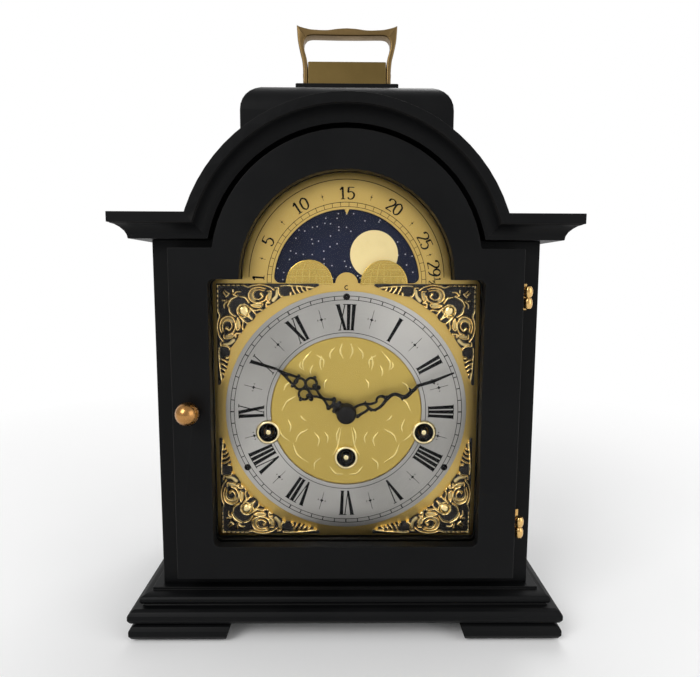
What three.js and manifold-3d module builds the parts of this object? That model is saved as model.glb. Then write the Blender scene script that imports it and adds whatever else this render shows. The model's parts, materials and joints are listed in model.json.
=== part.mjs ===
// Break-arch bracket clock with a moon dial, in millimetres. +Z is up and the dial faces -Y.
// Inside the file Y = 0 is the front of the case, behind the door; the last lines centre the depth on the origin.
import * as THREE from "three";
import { mergeVertices } from "three/addons/utils/BufferGeometryUtils.js";
import Module from "manifold-3d";

const wasm = await Module();
wasm.setup();

// ---------------------------------------------------------------- driving dimensions
const CASE_HALF = 96; // half the width of the case
const CASE_DEPTH = 116;
const CASE_FLOOR = 24.6; // top of the plinth
const BOARD = 12; // side panels
const FRAME_BOARD = 9; // front and back frames
const CORNICE_LOW = 203.5;
const CORNICE_RISE = 12;
const CORNICE_REACH = 15.8;
const ARCH_CENTRE = 189.5; // height of the centre of the arched roof
const ARCH_LIP = 68; // inner radius of the arched moulding
const ROOF_WALL = 9;
const FOOT_RISE = 9.5;
const SEAT = 0.3; // gap between faceted or mitred surfaces that touch
const PLAY = 0.25; // radial play of a turning piece in its hole

const SIDE_REVEAL = 11.3; // case left bare beside the door
const ARCH_REVEAL = 3.5; // between the door's arch and the moulding round it
const DOOR_OUTLINE = {
  half: CASE_HALF - SIDE_REVEAL,
  bottom: 34.1,
  shoulder: 199.2,
  radius: ARCH_LIP - ARCH_REVEAL,
  centre: ARCH_CENTRE,
};
const OPENING = { half: 66.1, bottom: 51, shoulder: 184.3, radius: 51.3, centre: 184.3, corner: 3 };
const DIAL_OUTLINE = { ...OPENING, corner: 0 };
const DOOR_THICK = 13;
const DOOR_GAP = 0.3; // between the shut door and the case
const OPENING_LIP = 3; // how far the door hides the rim of its glass
const GLASS = 2.5;
const HINGE = { x: DOOR_OUTLINE.half + 3.5, y: -8, heights: { upper: 176, lower: 59 }, radius: 2.4, half: 5.4 };
const KNOB = { x: -(DOOR_OUTLINE.half - 9.1), z: 120.7, radius: 5.7 };

const DIAL_Z = 115.9; // height of the hands' centre
const DIAL_FACE = 6; // front of the dial plate
const DIAL_PLATE = 1.2;
const DIAL_RIM = 3; // how far the dial plate runs behind the door's frame
const DIAL_PLAY = 0.8; // between the dial plate and the case round it
const RING_OUTER = 62.5;
const RING_INNER = 39.3;
const RING_FACE = 4.6;
const WINDING = [
  { name: "strike", x: -40.6, z: -11 },
  { name: "time", x: 0, z: -24.5 },
  { name: "chime", x: 40.6, z: -11 },
]; // winding squares, measured from the hands' centre
const BUSH = { outer: 6.1, bore: 4.9 };
const MOON = { centre: 182.4, window: 37, corner: 3, disc: 41 };
const HUMP = { radius: 12, x: 19, z: -0.2, peak: 5.8, peakZ: -0.3 }; // measured from the moon disc's centre
const SPANDREL = { half: OPENING.half + 0.1, ground: 4.5, front: 3.1 };
const MINUTE_LENGTH = 58.7;
const HOUR_LENGTH = 41.5;
const MINUTE_ANGLE = 68; // degrees clockwise from twelve
const HOUR_ANGLE = 303.8;

const MOVEMENT = { half: 60, low: 58, high: 160, front: 24, back: 66, plate: 2.2 };
const SEAT_BOARD = { low: 48, front: 20, back: 70 };
const ARBOR = 2.4; // radius of the winding arbors
const DRUM = 15.5; // radius of the spring barrels

const REAR_OPENING = { half: CASE_HALF - 26, bottom: 42, shoulder: 190, radius: 56, centre: 190 };
const REAR_GAP = 0.8;
const REAR_THICK = 8;
const REAR_HINGE = { x: -(REAR_OPENING.half + 0.6), y: 2, radius: 1.9, low: 60, high: 172, knuckles: 5 };

const CADDY = { half: 55, top: 285.6, setback: 18, round: 15, low: 232 };
const PAD = { half: 28.5, deep: 15, rise: 10.4 };
const HANDLE_BAR = { half: 22.2, deep: 4.4, rise: 11 };
const HANDLE = { deep: 4, pivot: 4.4, trunnion: 1.6 }; // pivot height above the pad

const MINUTE_PINION = { teeth: 12, module: 0.5 }; // on the centre arbor, behind the dial
const MINUTE_WHEEL = { teeth: 36, module: 0.5 };
const HOUR_PINION = { teeth: 10, module: 0.48 };
const HOUR_WHEEL = { teeth: 40, module: 0.48 };
const CENTRE_PINION = { teeth: 12, module: 49 / 76 };
const GREAT_WHEEL = { teeth: 64, module: 49 / 76 };
const SIDE_WHEEL = { teeth: 30, module: 1.22 }; // great wheels of the strike and chime barrels
const CENTRE_WHEEL = { teeth: 30, module: 1 };

// ---------------------------------------------------------------- finishes
const finish = (color, roughness, metalness) => ({ color, roughness, metalness });
const EBONISED = finish(0x171716, 0.42, 0);
const BRASS = finish(0xb08d4a, 0.3, 1);
const GILT = finish(0xc9a24e, 0.35, 1);
const SILVERED = finish(0xb9b9b8, 0.38, 1);
const STEEL = finish(0x8f9296, 0.35, 1);
const BLUED = finish(0x0f0f10, 0.3, 0.6);
const CLEAR = finish(0xdfe8e6, 0.05, 0);
const NIGHT = finish(0x14203f, 0.5, 0);

// ---------------------------------------------------------------- solids from three.js geometry
function solid(geometry) {
  const bare = geometry.index ? geometry.toNonIndexed() : geometry.clone();
  bare.deleteAttribute("normal");
  bare.deleteAttribute("uv");
  const merged = mergeVertices(bare, 1e-4);
  const index = merged.index.array;
  const corners = [];
  for (let i = 0; i < index.length; i += 3) {
    const [a, b, c] = [index[i], index[i + 1], index[i + 2]];
    if (a !== b && b !== c && c !== a) corners.push(a, b, c);
  }
  const build = (triangles) =>
    new wasm.Manifold(
      new wasm.Mesh({
        numProp: 3,
        vertProperties: new Float32Array(merged.attributes.position.array),
        triVerts: new Uint32Array(triangles),
      }),
    );
  const made = build(corners);
  return made.volume() < 0 ? build(corners.reverse()) : made;
}

function geometryOf(body) {
  const mesh = body.asOriginal().simplify(0.004).getMesh();
  const geometry = new THREE.BufferGeometry();
  const points = new Float32Array(mesh.numVert * 3);
  for (let i = 0; i < mesh.numVert; i++) {
    points.set(mesh.vertProperties.subarray(i * mesh.numProp, i * mesh.numProp + 3), i * 3);
  }
  geometry.setAttribute("position", new THREE.BufferAttribute(points, 3));
  geometry.setIndex(new THREE.BufferAttribute(new Uint32Array(mesh.triVerts), 1));
  geometry.computeVertexNormals();
  return geometry;
}

const join = (first, ...others) => others.reduce((all, next) => all.add(next), first);
const cut = (first, ...tools) => tools.reduce((all, next) => all.subtract(next), first);
const mirrored = (body) => body.mirror([1, 0, 0]);

// A flat outline in X and Z, given thickness from one Y to another.
function slab(shape, front, back, steps = 12) {
  const options = { depth: back - front, bevelEnabled: false, curveSegments: steps };
  const geometry = new THREE.ExtrudeGeometry(shape, options);
  geometry.rotateX(Math.PI / 2);
  geometry.translate(0, back, 0);
  return solid(geometry);
}

// A section in Y and Z, carried along X.
function length(shape, left, right, steps = 12) {
  const options = { depth: right - left, bevelEnabled: false, curveSegments: steps };
  const geometry = new THREE.ExtrudeGeometry(shape, options);
  const turn = new THREE.Matrix4().makeBasis(
    new THREE.Vector3(0, 1, 0),
    new THREE.Vector3(0, 0, 1),
    new THREE.Vector3(1, 0, 0),
  );
  geometry.applyMatrix4(turn);
  geometry.translate(left, 0, 0);
  return solid(geometry);
}

function block(left, right, front, back, low, high) {
  const geometry = new THREE.BoxGeometry(right - left, back - front, high - low);
  geometry.translate((left + right) / 2, (front + back) / 2, (low + high) / 2);
  return solid(geometry);
}

// A profile of [radius, distance] pairs, turned about Y and moved to an axis at x, z.
function turned(profile, x = 0, z = 0, sides = 20) {
  const points = profile.map(([radius, along]) => new THREE.Vector2(radius, along));
  return solid(new THREE.LatheGeometry(points, sides)).translate([x, 0, z]);
}

const rod = (radius, front, back, x = 0, z = 0, sides = 20) =>
  turned([[0, front], [radius, front], [radius, back], [0, back]], x, z, sides);

// The same about an upright axis at x, y, with heights in place of distances.
function upright(profile, x, y, sides = 16) {
  return turned(profile, 0, 0, sides).rotate([90, 0, 0]).translate([x, y, 0]);
}

function polygon(points) {
  return new THREE.Shape(points.map(([a, b]) => new THREE.Vector2(a, b)));
}

// Points along an arc, both ends included.
const arc = (x, z, radius, from, to, count) =>
  Array.from({ length: count + 1 }, (_, i) => {
    const angle = from + ((to - from) * i) / count;
    return [x + radius * Math.cos(angle), z + radius * Math.sin(angle)];
  });

// The outline of a door or dial with straight sides, shoulders and an arch between them.
function breakArch({ half, bottom, shoulder, radius, centre, corner = 0 }, grow = 0) {
  const [side, low, high, arch] = [half + grow, bottom - grow, shoulder + grow, radius + grow];
  const round = corner ? corner + grow : 0;
  const lean = Math.asin((high - centre) / arch);
  const rounded = (x, z, from) => (round ? arc(x, z, round, from, from + Math.PI / 2, 4) : [[x, z]]);
  return polygon([
    ...rounded(side - round, low + round, -Math.PI / 2),
    ...rounded(side - round, high - round, 0),
    ...arc(0, centre, arch, lean, Math.PI - lean, 30),
    ...rounded(-side + round, high - round, Math.PI / 2),
    ...rounded(-side + round, low + round, Math.PI),
  ]);
}

// A ribbon along a smooth line, as wide as the list of widths says.
function ribbon(points, widths, front, back, steps = 10) {
  const line = new THREE.SplineCurve(points.map(([x, z]) => new THREE.Vector2(x, z)));
  const left = [];
  const right = [];
  for (let i = 0; i <= steps; i++) {
    const share = i / steps;
    const place = share * (widths.length - 1);
    const step = Math.min(Math.floor(place), widths.length - 2);
    const width = widths[step] + (widths[step + 1] - widths[step]) * (place - step);
    const at = line.getPoint(share);
    const along = line.getTangent(share);
    left.push([at.x - (along.y * width) / 2, at.y + (along.x * width) / 2]);
    right.unshift([at.x + (along.y * width) / 2, at.y - (along.x * width) / 2]);
  }
  return slab(polygon([...left, ...right]), front, back);
}

// Points of a spiral about a centre, from one radius and angle to others.
function spiral([x, z], [radius, angle], [lastRadius, lastAngle], count = 7) {
  return Array.from({ length: count }, (_, i) => {
    const share = i / (count - 1);
    const r = radius + (lastRadius - radius) * share;
    const a = THREE.MathUtils.degToRad(angle + (lastAngle - angle) * share);
    return [x + r * Math.cos(a), z + r * Math.sin(a)];
  });
}

// ---------------------------------------------------------------- gears
const TOOTH_SHARE = 0.2; // half a tooth's width at the pitch line, as a share of the pitch
const pitchRadius = ({ teeth, module }) => (teeth * module) / 2;

// A wheel in the XZ plane with one tooth centred on the angle `phase`, in radians.
function gear(wheel, phase, front, back, { x = 0, z = 0, bore = 0 } = {}) {
  const radius = pitchRadius(wheel);
  const step = (2 * Math.PI) / wheel.teeth;
  const tip = radius + 0.8 * wheel.module;
  const root = radius - 1.05 * wheel.module;
  const points = [];
  for (let i = 0; i < wheel.teeth; i++) {
    const middle = phase + i * step;
    for (const [r, share] of [[root, -1.35], [tip, -0.55], [tip, 0.55], [root, 1.35]]) {
      const angle = middle + share * TOOTH_SHARE * step;
      points.push([r * Math.cos(angle), r * Math.sin(angle)]);
    }
  }
  const shape = polygon(points);
  if (bore) shape.holes.push(new THREE.Path().absarc(0, 0, bore, 0, 2 * Math.PI, true));
  return slab(shape, front, back).translate([x, 0, z]);
}

// The phase that puts a gap of the second wheel where the first wheel has a tooth.
const gapPhase = (angle, wheel) => angle + Math.PI + Math.PI / wheel.teeth;

// ---------------------------------------------------------------- the assembly
const clock = new THREE.Group();

function piece(name, body, look) {
  const mesh = new THREE.Mesh(geometryOf(body), new THREE.MeshStandardMaterial(look));
  mesh.name = name;
  clock.add(mesh);
}

// A slab whose front, left and right edges follow one moulding of [reach, height] pairs.
function mouldedSlab(profile) {
  const low = profile[0][1];
  const high = profile[profile.length - 1][1];
  const reach = Math.max(...profile.map(([out]) => out)) + 1;
  const right = profile.map(([out, height]) => [CASE_HALF + out, height]);
  const left = [...right].reverse().map(([x, height]) => [-x, height]);
  const across = slab(polygon([...right, ...left]), -reach, CASE_DEPTH);
  const front = profile.map(([out, height]) => [-out, height]).reverse();
  const section = polygon([[CASE_DEPTH, low], [CASE_DEPTH, high], ...front]);
  return across.intersect(length(section, -CASE_HALF - reach, CASE_HALF + reach));
}

// A bulging edge of [reach, height] pairs that is deepest half way up.
function bulge(reach, depth, low, high, count = 5) {
  return Array.from({ length: count + 1 }, (_, i) => {
    const angle = (i / count - 0.5) * Math.PI;
    const height = low + (high - low) * (0.5 + 0.5 * Math.sin(angle));
    return [reach - depth + depth * Math.cos(angle), height];
  });
}

// ---------------------------------------------------------------- plinth and feet
const ROLL_TOP = 17;
const BEAD_TOP = 23.1;
const FOOT = { reach: 14.6, inner: 58, deep: 40, slant: 4 };

function plinth() {
  return mouldedSlab([
    ...bulge(14.8, 3, FOOT_RISE, ROLL_TOP),
    [8.6, ROLL_TOP],
    ...bulge(9.9, 1.9, ROLL_TOP + 0.8, BEAD_TOP - 0.8),
    [5.4, BEAD_TOP],
    [4.4, BEAD_TOP],
    [4.4, CASE_FLOOR],
  ]);
}

// A corner of a low moulded slab, its inner ends slanting inwards as they rise.
function foot(side, rear) {
  const whole = mouldedSlab([[9, 0], ...bulge(FOOT.reach, 3.2, 0.8, FOOT_RISE - 0.6), [11, FOOT_RISE]]);
  const [front, back] = rear ? [CASE_DEPTH - FOOT.deep, CASE_DEPTH] : [-20, FOOT.deep - FOOT.reach];
  const shape = polygon([
    [FOOT.inner + FOOT.slant, -1],
    [CASE_HALF + 30, -1],
    [CASE_HALF + 30, FOOT_RISE + 1],
    [FOOT.inner, FOOT_RISE + 1],
  ]);
  const corner = whole.intersect(slab(shape, front, back));
  return side < 0 ? mirrored(corner) : corner;
}

piece("plinth", plinth(), EBONISED);
for (const [end, rear] of [["front", false], ["rear", true]]) {
  piece(`foot_${end}_left`, foot(-1, rear), EBONISED);
  piece(`foot_${end}_right`, foot(1, rear), EBONISED);
}

// ---------------------------------------------------------------- case sides, with glazed windows
const WINDOW = { half: 27, bottom: 62, centre: 158 };
const WINDOW_LIP = 4;
const SIDE_MIDDLE = CASE_DEPTH / 2;
const SIDE_INNER = CASE_HALF - BOARD;
const REBATE = CASE_HALF - BOARD / 2;

function windowOutline(grow) {
  const [half, low] = [WINDOW.half + grow, WINDOW.bottom - grow];
  const shape = new THREE.Shape();
  shape.moveTo(SIDE_MIDDLE - half, low);
  shape.lineTo(SIDE_MIDDLE + half, low);
  shape.absarc(SIDE_MIDDLE, WINDOW.centre, half, 0, Math.PI, false);
  shape.closePath();
  return shape;
}

const sidePanel = cut(
  block(SIDE_INNER, CASE_HALF, FRAME_BOARD, CASE_DEPTH - FRAME_BOARD, CASE_FLOOR, CORNICE_LOW),
  length(windowOutline(0), SIDE_INNER - 1, CASE_HALF + 1, 20),
  length(windowOutline(WINDOW_LIP), SIDE_INNER - 1, REBATE, 20),
);
const sideGlass = length(windowOutline(WINDOW_LIP - SEAT), REBATE - GLASS, REBATE, 20);
piece("side_panel_right", sidePanel, EBONISED);
piece("side_panel_left", mirrored(sidePanel), EBONISED);
piece("side_glass_right", sideGlass, CLEAR);
piece("side_glass_left", mirrored(sideGlass), CLEAR);

// ---------------------------------------------------------------- front and back frames, roof
const ROOF_OUTER = ARCH_LIP + CORNICE_RISE;
const ROOF_INNER = ROOF_OUTER - ROOF_WALL;
const CORNICE_HIGH = CORNICE_LOW + CORNICE_RISE;

// One face of the case, up to the inside of the roof, with an opening.
function facade(front, back, opening, grow) {
  const below = block(-CASE_HALF, CASE_HALF, front - 1, back + 1, 0, CORNICE_LOW);
  const arch = cut(rod(ROOF_INNER - SEAT, front, back, 0, ARCH_CENTRE, 72), below);
  const board = block(-CASE_HALF, CASE_HALF, front, back, CASE_FLOOR, CORNICE_LOW);
  return cut(join(board, arch), slab(breakArch(opening, grow), front - 1, back + 1, 24));
}

// Level shoulders either side of a barrel vault.
function roof() {
  const outer = Math.asin((CORNICE_HIGH - ARCH_CENTRE) / ROOF_OUTER);
  const inner = Math.asin((CORNICE_LOW - ARCH_CENTRE) / ROOF_INNER);
  const shape = new THREE.Shape();
  shape.moveTo(ROOF_INNER * Math.cos(inner), CORNICE_LOW);
  shape.lineTo(CASE_HALF, CORNICE_LOW);
  shape.lineTo(CASE_HALF, CORNICE_HIGH);
  shape.absarc(0, ARCH_CENTRE, ROOF_OUTER, outer, Math.PI - outer, false);
  shape.lineTo(-CASE_HALF, CORNICE_HIGH);
  shape.lineTo(-CASE_HALF, CORNICE_LOW);
  shape.absarc(0, ARCH_CENTRE, ROOF_INNER, Math.PI - inner, inner, true);
  return slab(shape, 0, CASE_DEPTH, 36);
}

piece("front_frame", facade(0, FRAME_BOARD, DIAL_OUTLINE, DIAL_RIM + DIAL_PLAY), EBONISED);
piece("back_frame", facade(CASE_DEPTH - FRAME_BOARD, CASE_DEPTH, REAR_OPENING, 0), EBONISED);
piece("roof_vault", roof(), EBONISED);

// ---------------------------------------------------------------- cornice
// A cove under a square fillet, as [reach, height above the lip] pairs.
const CORNICE_PROFILE = [
  [8.7, 0],
  [9, 1.8],
  [9.9, 3.6],
  [11.4, 5.2],
  [13.2, 6.4],
  [14.8, 6.9],
  [14.8, 7.2],
  [CORNICE_REACH, 7.2],
  [CORNICE_REACH, CORNICE_RISE],
];
const FAR = 60;

// Where the level moulding and the one round the arch meet, both profiles hold, which mitres the joint.
function corniceFront() {
  const rising = CORNICE_PROFILE.map(([out, height]) => [out, CORNICE_LOW + height]);
  const level = mouldedSlab([...rising, [CORNICE_REACH, CORNICE_HIGH + 2 * FAR]]);
  const bow = turned(
    [
      [ARCH_LIP, 0],
      ...CORNICE_PROFILE.map(([out, height]) => [ARCH_LIP + height, -out]),
      [ROOF_OUTER + 2 * FAR, -CORNICE_REACH],
      [ROOF_OUTER + 2 * FAR, 0],
      [ARCH_LIP, 0],
    ],
    0,
    ARCH_CENTRE,
    72,
  );
  const width = CASE_HALF + FAR;
  const above = block(-width, width, -FAR, FAR, CORNICE_HIGH, CORNICE_HIGH + 3 * FAR);
  const sky = cut(above, rod(ROOF_OUTER, -FAR - 1, FAR + 1, 0, ARCH_CENTRE, 72));
  return cut(level.intersect(bow), sky, beyondMitre(0), mirrored(beyondMitre(0)));
}

// The region beyond a 45 degree mitre at the right front corner of the case.
function beyondMitre(gap) {
  const [near, far] = [CASE_HALF + gap, 80];
  const plan = polygon([[near, 0], [near + far, -far], [near + far, CASE_DEPTH + far], [near, CASE_DEPTH + far]]);
  const geometry = new THREE.ExtrudeGeometry(plan, { depth: 3 * far, bevelEnabled: false });
  return solid(geometry).translate([0, 0, CORNICE_LOW - far]);
}

const corniceLevel = mouldedSlab(CORNICE_PROFILE.map(([out, height]) => [out, CORNICE_LOW + height]));
const corniceReturn = corniceLevel.intersect(beyondMitre(SEAT));
piece("cornice_front", corniceFront(), EBONISED);
piece("cornice_right", corniceReturn, EBONISED);
piece("cornice_left", mirrored(corniceReturn), EBONISED);

// ---------------------------------------------------------------- caddy top
// Upright sides under a quarter round, as half a section about a middle.
function cushionSection(half, middle) {
  const side = [[half, CADDY.low]];
  for (let i = 0; i <= 8; i++) {
    const angle = (i / 8) * (Math.PI / 2);
    const out = half - CADDY.round * (1 - Math.cos(angle));
    side.push([out, CADDY.top - CADDY.round * (1 - Math.sin(angle))]);
  }
  const other = [...side].reverse().map(([out, height]) => [-out, height]);
  return polygon([...side, ...other].map(([out, height]) => [middle + out, height]));
}

function caddy() {
  const across = slab(cushionSection(CADDY.half, 0), 0, CASE_DEPTH);
  const along = length(cushionSection(SIDE_MIDDLE - CADDY.setback, SIDE_MIDDLE), -CASE_HALF, CASE_HALF);
  const vault = rod(ROOF_OUTER + SEAT, -1, CASE_DEPTH + 1, 0, ARCH_CENTRE, 72);
  return cut(across.intersect(along), vault);
}

piece("caddy_top", caddy(), EBONISED);

// ---------------------------------------------------------------- carrying handle
const PAD_TOP = CADDY.top + PAD.rise;
const PIVOT_Z = PAD_TOP + HANDLE.pivot;

// A round bar along X through the handle's pivots.
const pivotBar = (radius, half) =>
  rod(radius, -half, half, 0, 0, 16).rotate([0, 0, 90]).translate([0, SIDE_MIDDLE, PIVOT_Z]);

function handleBar() {
  const { half, deep, rise } = HANDLE_BAR;
  const bar = block(-half, half, SIDE_MIDDLE - deep, SIDE_MIDDLE + deep, PAD_TOP, PAD_TOP + rise);
  return join(bar, pivotBar(HANDLE.trunnion, 25.8));
}

// Half of each outline, from a leg's foot up and over to the middle, as [x, height above the pad].
const BAIL_OUTER = [
  [25, 0.4],
  [25.1, 7],
  [25.7, 12.5],
  [27.2, 18.5],
  [28.2, 24],
  [28.5, 30.8],
  [25.6, 29.7],
  [20, 28.6],
  [12, 28.3],
  [5, 29.2],
];
const BAIL_INNER = [
  [22.5, 0.4],
  [22.5, 9],
  [22.9, 12.5],
  [24, 16],
  [24.6, 19],
  [24.2, 21.6],
  [22.6, 23.6],
  [19.5, 24.4],
  [8, 24.2],
];

function bail() {
  const lift = ([x, height]) => [x, PAD_TOP + height];
  const leftOf = (half) => [...half].reverse().map(([x, height]) => [-x, height]);
  const outline = [...BAIL_OUTER, ...leftOf(BAIL_OUTER), ...BAIL_INNER.map(([x, h]) => [-x, h]), ...leftOf(BAIL_INNER).map(([x, h]) => [-x, h])];
  const body = slab(polygon(outline.map(lift)), SIDE_MIDDLE - HANDLE.deep, SIDE_MIDDLE + HANDLE.deep);
  const below = block(-40, 40, SIDE_MIDDLE - 20, SIDE_MIDDLE + 20, PAD_TOP - 5, PIVOT_Z);
  const round = cut(below, pivotBar(HANDLE.deep, 41));
  return cut(body, round, pivotBar(HANDLE.trunnion + PLAY, 40));
}

piece("handle_pad", block(-PAD.half, PAD.half, SIDE_MIDDLE - PAD.deep, SIDE_MIDDLE + PAD.deep, CADDY.top, PAD_TOP), EBONISED);
piece("handle_bar", handleBar(), BRASS);
piece("carrying_handle", bail(), BRASS);

// ---------------------------------------------------------------- front door
const DOOR_BACK = -DOOR_GAP;
const DOOR_FRONT = DOOR_BACK - DOOR_THICK;
const GLASS_FRONT = DOOR_FRONT + 6;
const LEAF = { thick: 1.4, half: 6.5, wide: 1.6 };

// Two turned balls one over the other; the upper one swings with the door on the lower one's pin.
function hingeBall(low, high) {
  const count = 5;
  const profile = [[0, low]];
  for (let i = 0; i <= count; i++) {
    const angle = (i / count - 0.5) * Math.PI * 0.8;
    profile.push([
      1.2 + (HINGE.radius - 1.2) * Math.cos(angle),
      (low + high) / 2 + ((high - low) / 2) * Math.sin(angle) / Math.sin(Math.PI * 0.4),
    ]);
  }
  return upright([...profile, [0, high]], HINGE.x, HINGE.y, 20);
}

function caseHinge(z) {
  const pin = upright([[0, z - 2], [0.9, z - 2], [0.9, z + HINGE.half - 1.4], [0, z + HINGE.half - 1.4]], HINGE.x, HINGE.y, 12);
  const arm = block(HINGE.x - 0.8, HINGE.x + 0.8, HINGE.y, -LEAF.thick / 2, z - 3.8, z - 1.4);
  const leaf = block(HINGE.x - LEAF.wide, HINGE.x + LEAF.wide, -LEAF.thick, 0, z - LEAF.half, z + LEAF.half);
  return join(hingeBall(z - HINGE.half, z - 0.15), pin, arm, leaf);
}

const leafPocket = (z) =>
  block(DOOR_OUTLINE.half - 5, DOOR_OUTLINE.half, HINGE.y - 0.8, HINGE.y + 0.8, z + 0.6, z + LEAF.half + 3);

function doorHinge(z) {
  const bore = upright([[0, z], [0.9 + PLAY, z], [0.9 + PLAY, z + HINGE.half - 1], [0, z + HINGE.half - 1]], HINGE.x, HINGE.y, 12);
  const arm = block(DOOR_OUTLINE.half - 1, HINGE.x, HINGE.y - 0.8, HINGE.y + 0.8, z + 1.4, z + 3.8);
  return cut(join(hingeBall(z + 0.15, z + HINGE.half), arm, leafPocket(z)), bore);
}

function doorFrame() {
  const board = slab(breakArch(DOOR_OUTLINE), DOOR_FRONT, DOOR_BACK, 36);
  const light = slab(breakArch(OPENING), DOOR_FRONT - 1, DOOR_BACK + 1, 36);
  const rebate = slab(breakArch(OPENING, OPENING_LIP), GLASS_FRONT, DOOR_BACK + 1, 36);
  const hole = rod(1.5, DOOR_FRONT - 1, DOOR_FRONT + 8, KNOB.x, KNOB.z, 12);
  const pockets = Object.values(HINGE.heights).map(leafPocket);
  return cut(board, light, rebate, hole, ...pockets);
}

const glassOutline = breakArch(OPENING, OPENING_LIP - SEAT);
const bead = cut(
  slab(glassOutline, GLASS_FRONT + GLASS, GLASS_FRONT + GLASS + 2.5, 36),
  slab(breakArch(OPENING), GLASS_FRONT, DOOR_BACK, 36),
);

// A ball on a short neck and a small rose, with a peg into the wood.
function knob(radius, x, face, z, outward) {
  const ball = Array.from({ length: 7 }, (_, i) => {
    const angle = (i / 6) * 2.55;
    return [radius * Math.sin(angle), radius * (1.15 + Math.cos(angle))];
  });
  const profile = [...ball, [radius * 0.45, radius * 0.2], [radius * 0.62, radius * 0.14], [radius * 0.62, 0], [1.4, 0], [1.4, -6], [0, -6]];
  const placed = profile.map(([r, along]) => [r, face + outward * along]);
  return turned(placed, x, z, 16);
}

piece("door_frame", doorFrame(), EBONISED);
piece("door_glass", slab(glassOutline, GLASS_FRONT, GLASS_FRONT + GLASS, 36), CLEAR);
piece("door_bead", bead, EBONISED);
piece("door_knob", knob(KNOB.radius, KNOB.x, DOOR_FRONT, KNOB.z, -1), BRASS);
for (const [place, z] of Object.entries(HINGE.heights)) {
  piece(`hinge_${place}_case`, caseHinge(z), BRASS);
  piece(`hinge_${place}_door`, doorHinge(z), BRASS);
}

// ---------------------------------------------------------------- back door with sound slots
const REAR_FACE = CASE_DEPTH;
const SLOT = { width: 3, spacing: 11, rows: 9, middle: 118, rise: 84, fall: 0.6, curve: 0.012 };
const REAR_KNOB = { x: REAR_OPENING.half - 10, z: 120, radius: 3.2 };

function rearDoor() {
  const board = slab(breakArch(REAR_OPENING, -REAR_GAP), REAR_FACE - REAR_THICK, REAR_FACE, 24);
  const slots = Array.from({ length: SLOT.rows }, (_, i) => {
    const x = (i - (SLOT.rows - 1) / 2) * SLOT.spacing;
    const reach = SLOT.rise - SLOT.curve * x * x;
    const [low, high] = [SLOT.middle - reach * SLOT.fall, SLOT.middle + reach];
    return block(x - SLOT.width / 2, x + SLOT.width / 2, REAR_FACE - 20, REAR_FACE + 1, low, high);
  });
  const hole = rod(1.5, REAR_FACE - 7, REAR_FACE + 1, REAR_KNOB.x, REAR_KNOB.z, 12);
  return cut(board, ...slots, hole);
}

const hingeY = REAR_FACE + REAR_HINGE.y;
const knuckle = (low, high, radius = REAR_HINGE.radius) =>
  upright([[0, low], [radius, low], [radius, high], [0, high]], REAR_HINGE.x, hingeY, 16);

// One leaf of a strip hinge, whose knuckles take every other place on the pin.
function stripLeaf(onDoor) {
  const { low, high, knuckles, x, radius } = REAR_HINGE;
  const step = (high - low) / knuckles;
  const [left, right] = onDoor ? [x, x + 9] : [x - 9, x];
  let leaf = block(left, right, REAR_FACE + 0.02, REAR_FACE + 1.2, low, high);
  for (let i = 0; i < knuckles; i++) {
    const [from, to] = [low + i * step, low + (i + 1) * step];
    const mine = (i % 2 === 1) === onDoor;
    leaf = mine ? join(leaf, knuckle(from + 0.2, to - 0.2)) : cut(leaf, knuckle(from - 0.2, to + 0.2, radius + 0.5));
  }
  return onDoor ? cut(leaf, knuckle(low - 1, high + 1, 0.8 + PLAY)) : join(leaf, knuckle(low + 1, high - 1, 0.8));
}

piece("rear_door", rearDoor(), EBONISED);
piece("rear_door_knob", knob(REAR_KNOB.radius, REAR_KNOB.x, REAR_FACE, REAR_KNOB.z, 1), BRASS);
piece("rear_hinge_case", stripLeaf(false), BRASS);
piece("rear_hinge_door", stripLeaf(true), BRASS);

// ---------------------------------------------------------------- dial
const DIAL_BACK = DIAL_FACE + DIAL_PLATE;
const MOON_FACE = DIAL_BACK + 1;
const MOON_THICK = 0.8;
const TUBE = 2.6; // outer radius of the hour hand's pipe
const CENTRE_ARBOR = 1.2;
const DIAL_FEET = [[-50, 72], [50, 72], [-50, 148], [50, 148]];

// The moon's window: half a disc whose lower edge rises in two humps and a small one between.
function moonWindow() {
  const inner = MOON.window - MOON.corner;
  const cornerX = Math.sqrt(inner ** 2 - MOON.corner ** 2);
  const lean = Math.atan2(MOON.corner, cornerX);
  const half = polygon([
    ...arc(cornerX, MOON.corner, MOON.corner, -Math.PI / 2, lean, 4),
    ...arc(0, 0, MOON.window, lean, Math.PI - lean, 32).slice(1, -1),
    ...arc(-cornerX, MOON.corner, MOON.corner, Math.PI - lean, 1.5 * Math.PI, 4),
  ]);
  const hump = (x, z, radius) => rod(radius, 0, 20, x, z, 28);
  const humps = [hump(-HUMP.x, HUMP.z, HUMP.radius), hump(HUMP.x, HUMP.z, HUMP.radius), hump(0, HUMP.peakZ, HUMP.peak)];
  return cut(slab(half, DIAL_FACE - 1, DIAL_BACK + 1), ...humps).translate([0, 0, MOON.centre]);
}

function dialPlate() {
  const plate = slab(breakArch(DIAL_OUTLINE, DIAL_RIM), DIAL_FACE, DIAL_BACK, 32);
  const centre = rod(RING_INNER - 0.2, DIAL_FACE - 0.5, DIAL_BACK, 0, DIAL_Z, 48);
  const feet = DIAL_FEET.map(([x, z]) => rod(2.2, DIAL_BACK - 0.5, MOVEMENT.front, x, z, 10));
  const stud = rod(1.6, DIAL_BACK - 0.5, MOON_FACE + 4, 0, MOON.centre, 16);
  const winding = WINDING.map(({ x, z }) => rod(BUSH.bore + 0.4, -1, 20, x, DIAL_Z + z, 24));
  const pipe = rod(TUBE + PLAY, 0, 20, 0, DIAL_Z, 20);
  return cut(join(plate, centre, ...feet, stud), moonWindow(), ...winding, pipe);
}

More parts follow.
